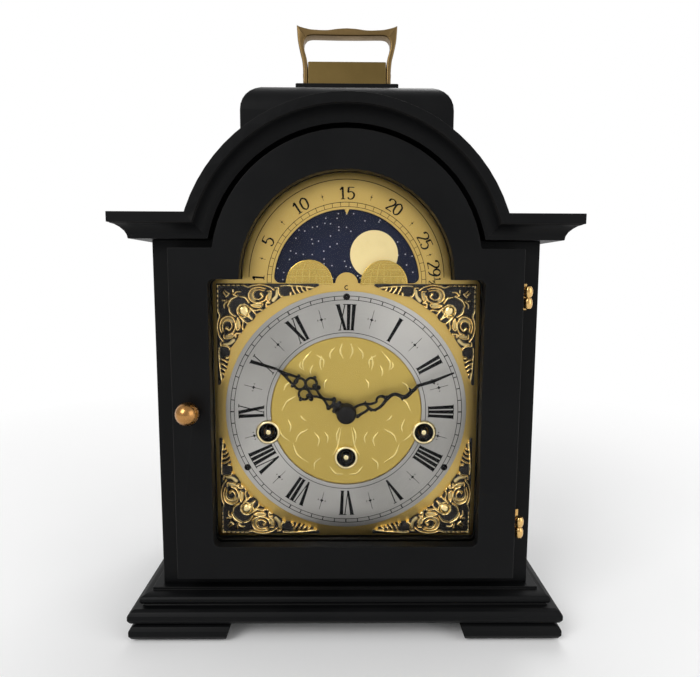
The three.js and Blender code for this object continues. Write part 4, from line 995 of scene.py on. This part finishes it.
def spandrels():
    """Corner sheets from a scalloped lip out to a square: radius runs from one to the other along each
    angle."""
    angle = np.linspace(12.1, 77.9, 391)[None, :]
    inner = np.interp(
        45 + np.abs(angle - 45), *np.array(LIP)[::-1].T
    ) + 0.25 * np.abs(np.sin(np.radians(angle - 45) * 22))
    angle = np.radians(angle)
    outer = CORNER / np.maximum(np.abs(np.sin(angle)), np.abs(np.cos(angle)))
    share = np.linspace(0, 1, 118)[:, None]
    radius = inner + (outer - inner) * share
    x, z = radius * np.cos(angle), radius * np.sin(angle)
    height = ridges(CORNER - x, CORNER - z, spandrel_curves())
    border = (share == 0) | (share == 1) | (x < 0)
    y = np.where(border, PLATE_FACE, PLATE_FACE - GROUND - RELIEF * height)
    faces = grid_faces(*x.shape)
    for name, right, up in (
        ("upper_right", 1, 1), ("upper_left", -1, 1), ("lower_right", 1, -1), ("lower_left", -1, -1)
    ):
        points = facing_front(x * right, z * up + DIAL_Z, y)
        outward = [f[::-1] for f in faces] if right * up > 0 else faces
        lay(
            f"scrollwork_{name}", points, outward, SPANDREL, "case", [f"spandrel_{name}"],
            values=height
        )


STROKES = [  # light comma strokes of the engraved centre, right-hand side, in millimetres from the hands
    [[18.3, 31.5], [22.4, 26], [22, 21.5]], [[17.4, 24.2], [18.6, 21.4], [18.3, 18.7]],
    [[10, 17], [11.4, 14.8], [11.4, 12.3]],
    [[26.5, 7.8], [31, 5], [33.9, -0.5]], [[23.8, 26], [24, 23.6], [22.4, 21.5]],
    [[15.5, 29.7], [11.9, 27], [11.9, 23.3]],
    [[23.8, -2.3], [22.8, -3.8], [21, -5]], [[16.5, -11.4], [14.2, -15], [15, -18.8]],
    [[3.7, -8.7], [5, -12.8], [4.6, -17]],
    [[2.7, -8.7], [4.6, -18.8], [7.3, -24]], [[20, -9.6], [24.7, -12.4], [26.5, -16.5]],
    [[27.9, -17], [25.6, -23.3], [20, -27.4]],
    [[35.7, -6.9], [33.9, -12.4], [29.7, -16]], [[8.7, -29.7], [5.5, -33.4], [1.8, -33.9]],
    [[12.8, 29.4], [13.6, 25.6], [13, 21.8]],
    [[28.8, 15.4], [31.4, 13.6], [32.4, 11.2]], [[6.2, 33.4], [8.4, 30.6], [8.2, 27.8]],
    [[2.2, 35.6], [3.2, 31.6], [1.8, 28]],
    [[13.6, -25.2], [16.4, -27.6], [16.8, -31]], [[30.4, -4.4], [29, -8.2], [29.6, -11.2]],
    [[11.2, -11.2], [9.6, -14], [10, -17.2]],
]


def centre_curves():
    """Each stroke swells and thins along its length, and is repeated on the other side of the middle."""
    half = [(smoothed(path, 36), [0.16, 0.42, 0.34, 0.12], 0.62, 0) for path in STROKES]
    return half + [(path * [-1, 1], widths, tall, lobes) for path, widths, tall, lobes in half]


CENTRE_HOLE, CENTRE_EDGE, CENTRE_RIM = 2.7, 38.9, 38.4
BUSH_CLEAR = 5.7  # the sheet is open this far round each winding arbor


def dial_centre():
    """The embossed disc: a polar sheet with ridges, left open where the arbors pass."""
    radius = np.linspace(CENTRE_HOLE, CENTRE_EDGE, 200)[:, None]
    angle = np.linspace(0, 2 * pi, 480, endpoint=False)[None, :]
    x, z = radius * np.cos(angle), radius * np.sin(angle)
    rim = 0.12 * np.sqrt(np.clip(1 - ((radius - CENTRE_RIM) / 0.5) ** 2, 0, 1)) + 0 * angle
    height = np.maximum(ridges(x, z, centre_curves()), rim)
    y = PLATE_FACE - 0.52 - 0.35 * height
    open_at = np.zeros(x.shape, bool)
    for across, up in WINDING.values():
        open_at |= np.hypot(x - across, z - up) < BUSH_CLEAR
    faces = np.array(grid_faces(*x.shape, wrap=True))[:, ::-1]
    faces = faces[~open_at.ravel()[faces].any(1)]
    lay(
        "embossed_centre", facing_front(x, z + DIAL_Z, y), faces, EMBOSSED, "case",
        values=height
    )


HUMP_RADIUS, HUMP_ACROSS, HUMP_DROP = 11.95, 19.0, 0.2
GLOBE_STEP = pi / 10  # between two meridians or two parallels


def globe_humps():
    """Two half discs engraved as globes: meridians are ellipses and parallels arcs, cut as grooves in a low
    dome."""
    share, angle = np.linspace(0, 1, 60)[:, None], np.linspace(-0.06, pi + 0.06, 150)[None, :]
    u, v = share * np.cos(angle), share * np.sin(angle)
    depth = np.sqrt(np.clip(1 - u**2 - v**2, 0, 1))
    longitude, latitude = np.arctan2(u, depth + 1e-6) / GLOBE_STEP, np.arcsin(np.clip(v, -1, 1)) / GLOBE_STEP
    groove = lambda t: np.clip(1 - np.abs(t - np.round(t)) / 0.12, 0, 1)
    cut = np.maximum(groove(longitude), groove(latitude)) * (share < 0.93)
    rim = np.clip(1 - np.abs(share - 0.965) / 0.03, 0, 1) + 0 * angle
    height = np.clip(0.75 - 0.6 * cut + 0.5 * rim, 0, 1)
    y = PLATE_FACE - 0.05 - 0.35 * depth - 0.12 * height
    faces = [f[::-1] for f in grid_faces(*u.shape)]
    parts = [
        (facing_front(HUMP_RADIUS * u + side, HUMP_RADIUS * v + MOON_Z - HUMP_DROP, y), faces)
        for side in (-HUMP_ACROSS, HUMP_ACROSS)
    ]
    points, joined = gathered(parts)
    lay("globe_humps", points, joined, GLOBES, "case", values=np.tile(height.ravel(), 2))


spandrels()
dial_centre()
globe_humps()


# ---------------------------------------------------------------- screws and hands
SCREW_CIRCLE, SCREW_RADIUS = 59.6, 1.75


def dial_screws():
    """Low domes with a saw cut: the height of a cap, less a groove where one coordinate is near zero."""
    share, angle = np.linspace(0.02, 1, 16)[:, None], np.linspace(0, 2 * pi, 40, endpoint=False)[None, :]
    parts = []
    for at in (90, 210, 330):
        x, z = SCREW_CIRCLE * cos(radians(at)), SCREW_CIRCLE * sin(radians(at))
        u, v = share * np.cos(angle), share * np.sin(angle)
        dome = 0.75 * np.sqrt(np.clip(1.02 - share**2, 0, 1)) - 0.35 * (np.abs(u * 0.8 + v * 0.6) < 0.16)
        points = facing_front(
            SCREW_RADIUS * u + x, SCREW_RADIUS * v + z + DIAL_Z, RING_FACE - np.maximum(dome, 0)
        )
        parts.append((points, [f[::-1] for f in grid_faces(*u.shape, wrap=True)]))
    points, faces = gathered(parts)
    lay("dial_screws", points, faces, HAND_BLACK, "case")
    printed("crescent", [band(0.7, 1.2, 55, 320, 40)], MOON_Z - 2.2, PLATE_FACE)


def set_at(part, degrees):
    """A part drawn pointing up, turned clockwise about the dial's centre."""
    points, faces = part
    c, s = cos(radians(degrees)), sin(radians(degrees))
    x, z = points[:, 0] * c + points[:, 2] * s, points[:, 2] * c - points[:, 0] * s
    return np.stack([x, points[:, 1], z + DIAL_Z], -1), faces


def eye(x, z, radius, half, front, back):
    """A round ring of the hand: a band of six-sided section swept about a point."""
    section = [
        [radius - half, back], [radius - half, front + 0.2], [radius - half * 0.4, front],
        [radius + half * 0.4, front], [radius + half, front + 0.2], [radius + half, back],
        [radius - half, back]
    ]
    return turned(section, "y", (x, 0, z), 40)


def bead(x, z, radius, front, back):
    """A small round boss on a hand: a disc with a turned-over edge."""
    profile = [[0.02, front - 0.08], [radius * 0.75, front - 0.08], [radius, front + 0.15], [radius, back]]
    return turned(profile, "y", (x, 0, z), 20)


def hour_hand(front, back):
    """Three rings in a trefoil on crossed strands, with a pierced tip."""
    strip = lambda points, widths, lift=0.0, count=40: ribbon(points, widths, front - lift, back, count)
    crossed = [[1.7, 21], [1.9, 19.3], [0.9, 17.3], [0.2, 15.2], [-0.4, 13.2], [-1.5, 10.9], [-2.7, 9.2]]
    bosses = [(6.7, 23.6, 0.95), (3.5, 19.2, 1.2), (3.0, 21.2, 1.3), (3.0, 30.9, 0.9), (2.7, 9.2, 1.15), (2.5, 5.9, 1.05)]
    twins = [
        strip([[2.2, 30.8], [1.75, 33], [1.1, 35.4], [0.5, 37.6]], [0.85, 0.8, 0.95, 0.7], 0.01),
        strip(crossed, [1.0, 0.75, 0.8, 0.9, 0.85, 0.9, 1.5], 0.02),
        eye(3.3, 23.5, 2.8, 0.62, front - 0.01, back),
    ]
    twins += [bead(x, z, r, front, back) for x, z, r in bosses]
    parts = twins + [mirrored(part) for part in twins]
    parts.append(eye(0, 28.3, 2.85, 0.62, front - 0.02, back))
    parts.append(strip([[-2, 30.9], [0, 30.3], [2, 30.9]], [1.1, 1.3, 1.1], 0.03))
    parts.append(strip([[0, 35.4], [0, 37.2], [0, 40], [0, 43.2]], [1.5, 2.2, 1.1, 0.3], 0.03))
    parts.append(strip([[-2.7, 9.0], [0, 8.2], [2.7, 9.0]], [1.3, 1.2, 1.3], 0.04))
    parts.append(strip([[0, 8.4], [0, 7.2], [0, 5.8], [0, 4]], [2.4, 3.0, 5.2, 6.5], 0.05))
    return parts + [eye(0, 0, 3.9, 1.3, front - 0.06, back)]


def minute_hand(front, back):
    """A stem that winds in three strands near the hub, then runs out as one waved line with leaves."""
    strip = lambda points, widths, lift=0.0, count=40: ribbon(points, widths, front - lift, back, count)
    upper = [
        [-1.2, 4.2], [-1.9, 6.2], [-2, 8.2], [-1.5, 10.9], [-0.6, 13], [-0.3, 14.9], [-0.5, 16.7],
        [-1.4, 17.1], [-2.2, 18], [-2.4, 19.3], [-1.9, 20.6], [-0.4, 22]
    ]
    wave = [[-1.5, 10.9], [1.2, 12.1], [3, 13.7], [3.1, 15.9], [2.4, 18.4], [0.9, 20.9], [0, 22.4],
            [-0.8, 24.9], [-0.55, 27.1], [0.9, 28.8], [2.3, 30.3], [2.4, 32.3], [1.3, 35], [0.6, 37.1],
            [-0.4, 39.4], [-0.2, 42.7], [0.15, 47], [0.1, 51], [0, 55], [0, 58.7]]
    lower = [[2.6, 4.4], [3, 5.4], [2.6, 7.2], [2.2, 9.8], [1.6, 11.2], [1.0, 12.2]]
    cusps = [
        ([-1.5, 10.6], [-2.7, 11.8], 1.3), ([-1.6, 20.3], [-2.6, 21.1], 1.2), ([-0.4, 21.7], [-1.7, 22.7], 1.2),
        ([2, 12.3], [3.4, 12.5], 1.1), ([2.9, 14], [4.1, 14.8], 1.1), ([1.6, 29.7], [3.7, 29.2], 1.9),
        ([1.3, 35.2], [-1.2, 34.6], 1.6), ([0, 47], [1.8, 47.5], 1.4), ([0, 47.4], [-1.1, 46.6], 1.0),
    ]
    parts = [strip(upper, [1.1, 0.85, 0.85, 1.1, 0.85, 0.8, 0.8, 0.8, 0.85, 0.9, 1.1, 1.3], 0, 90)]
    wave_widths = [1.1, 0.9, 0.9, 0.95, 1.1, 1.3, 1.8, 1.35, 1.3, 1.6,
                   1.9, 1.7, 1.6, 1.35, 1.2, 1.15, 1.3, 0.95, 0.7, 0.35]
    parts.append(strip(wave, wave_widths, 0.02, 150))
    parts.append(strip(lower, [1.2, 1.3, 1.0, 0.9, 0.95, 0.9], 0.03))
    parts += [
        strip([root, (np.array(root) + tip) / 2, tip], [wide, wide * 0.6, 0.15], 0.01, 8)
        for root, tip, wide in cusps
    ]
    return parts + [bead(3.1, 5, 1.05, front, back), eye(0, 0, 3.2, 1.9, front - 0.05, back)]


def hand_cap(front):
    """The black boss over the hub: radius is the sine and rise the cosine of one angle."""
    angle = np.linspace(0.004, pi / 2, 20)
    dome = np.stack([5.05 * np.sin(angle), front - 2.6 * np.cos(angle) ** 0.8], -1)
    points, faces = turned(np.vstack([dome, [[5.05, front + 0.05]]]), "y", (0, 0, DIAL_Z), 56)
    lay("hand_cap", points, faces, HAND_BLACK, "minutes", ["hand_nut"])


HOUR_AT, MINUTE_AT = 302.8, 68.5  # degrees clockwise from twelve


def hands():
    """Both hands drawn pointing up, then turned to the time and set between the faces of their solids."""
    for node, draw, degrees, body in (
        ("hour_hand", hour_hand, HOUR_AT, "hours"), ("minute_hand", minute_hand, MINUTE_AT, "minutes")
    ):
        low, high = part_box(node)
        points, faces = gathered([set_at(part, degrees) for part in draw(low.y / MM, high.y / MM)])
        lay(node + "_filed", points, faces, HAND_BLACK, body, [node])
    hand_cap(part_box("minute_hand")[0].y / MM - 0.1)


dial_screws()
hands()


# ---------------------------------------------------------------- floor, light and camera
def stage():
    """A floor that bends up into a backdrop, white to the camera and a plain pale grey to the object."""
    maker = Maker("pale_floor")
    rays = maker.node("ShaderNodeLightPath")
    direct = maker.math(
        "MAXIMUM", rays.outputs["Is Camera Ray"],
        maker.math("MAXIMUM", rays.outputs["Is Glossy Ray"], rays.outputs["Is Transmission Ray"])
    )
    away = maker.node("ShaderNodeVectorMath", {"operation": "LENGTH"})
    maker.put(away.inputs[0], maker.place())
    far = maker.math("MULTIPLY", direct, maker.ramp(away.outputs["Value"], 0.0, 1.0, 0.2, 0.62))
    maker.set(
        Base_Color=maker.blend(
            far, maker.blend(direct, (0.62, 0.62, 0.62, 1), (0.95, 0.95, 0.95, 1)), (0, 0, 0, 1)
        ),
        Roughness=0.9
    )
    maker.set(Emission_Color=(1, 1, 1, 1), Emission_Strength=far)
    maker.surface.inputs["Specular IOR Level"].default_value = 0.0
    bend = np.linspace(0, pi / 2, 24)
    near, start, curve, far_up = -1600, 900, 500, 2600
    depth = np.concatenate([[near], start + curve * np.sin(bend), [start + curve]])
    height = np.concatenate([[0], curve - curve * np.cos(bend), [far_up]])
    rows = len(depth)
    across = np.array([-2600.0, 2600.0])
    points = np.stack(
        [
            np.repeat(across[None, :], rows, 0), np.repeat(depth[:, None], 2, 1),
            np.repeat(height[:, None], 2, 1)
        ],
        -1
    )
    mesh = bpy.data.meshes.new("floor")
    mesh.from_pydata((points.reshape(-1, 3) * MM).tolist(), [], grid_faces(rows, 2))
    mesh.polygons.foreach_set("use_smooth", np.full(len(mesh.polygons), True))
    floor = bpy.data.objects.new("floor", mesh)
    scene.collection.objects.link(floor)
    mesh.materials.append(maker.material)


def lamp(name, place, target, size, power):
    """A soft square lamp aimed at a point."""
    data = bpy.data.lights.new(name, "AREA")
    data.energy, data.size = power, size
    made = bpy.data.objects.new(name, data)
    made.location = place
    away = np.array(place) - np.array(target)
    made.rotation_euler = (np.arctan2(np.hypot(away[0], away[1]), away[2]), 0, np.arctan2(away[0], -away[1]))
    scene.collection.objects.link(made)


VIEWPOINT = (-1.24, -280.5, 186.9)  # across, from the face of the case, and up
LOOKING_DOWN, TURNED, ROLLED = 6.54, -0.61, -0.23  # degrees


def camera():
    """The photograph's viewpoint: a little above the middle, close, looking slightly down."""
    data = bpy.data.cameras.new("camera")
    data.sensor_width, data.lens = 36.0, 28.8
    data.clip_start, data.clip_end = 0.01, 20.0
    made = bpy.data.objects.new("camera", data)
    pitch, yaw, roll = radians(90 - LOOKING_DOWN), radians(TURNED), radians(ROLLED)
    made.matrix_world = (
        Matrix.Translation((VIEWPOINT[0] * MM, (CASE_FRONT + VIEWPOINT[1]) * MM, VIEWPOINT[2] * MM))
        @ Euler((pitch, 0, yaw)).to_matrix().to_4x4()
        @ Matrix.Rotation(-roll, 4, "Z")
    )
    scene.collection.objects.link(made)
    scene.camera = made


stage()
camera()
# each lamp: its place, what it is aimed at, its side in metres, and its watts
lamp("key", (-0.75, -0.95, 0.95), (0, 0, 0.16), 0.7, 9)
lamp("fill", (0.95, -0.75, 0.5), (0, 0, 0.15), 0.9, 4)
lamp("back", (0.2, 0.8, 1.1), (0, 0, 0.2), 0.8, 6)

# white surroundings, dimmer for the object than for the camera
world = bpy.data.worlds.new("studio")
scene.world = world
world.use_nodes = True
sky = world.node_tree
rays = sky.nodes.new("ShaderNodeLightPath")
total = sky.nodes.new("ShaderNodeMath")
total.operation = "ADD"
total.use_clamp = True
strength = sky.nodes.new("ShaderNodeMapRange")
strength.inputs["To Min"].default_value = 0.55
strength.inputs["To Max"].default_value = 1.0
sky.links.new(rays.outputs["Is Camera Ray"], total.inputs[0])
sky.links.new(rays.outputs["Is Transmission Ray"], total.inputs[1])
sky.links.new(total.outputs[0], strength.inputs["Value"])
sky.links.new(strength.outputs["Result"], sky.nodes["Background"].inputs["Strength"])
sky.nodes["Background"].inputs["Color"].default_value = (1, 1, 1, 1)
scene.view_settings.view_transform = "Standard"
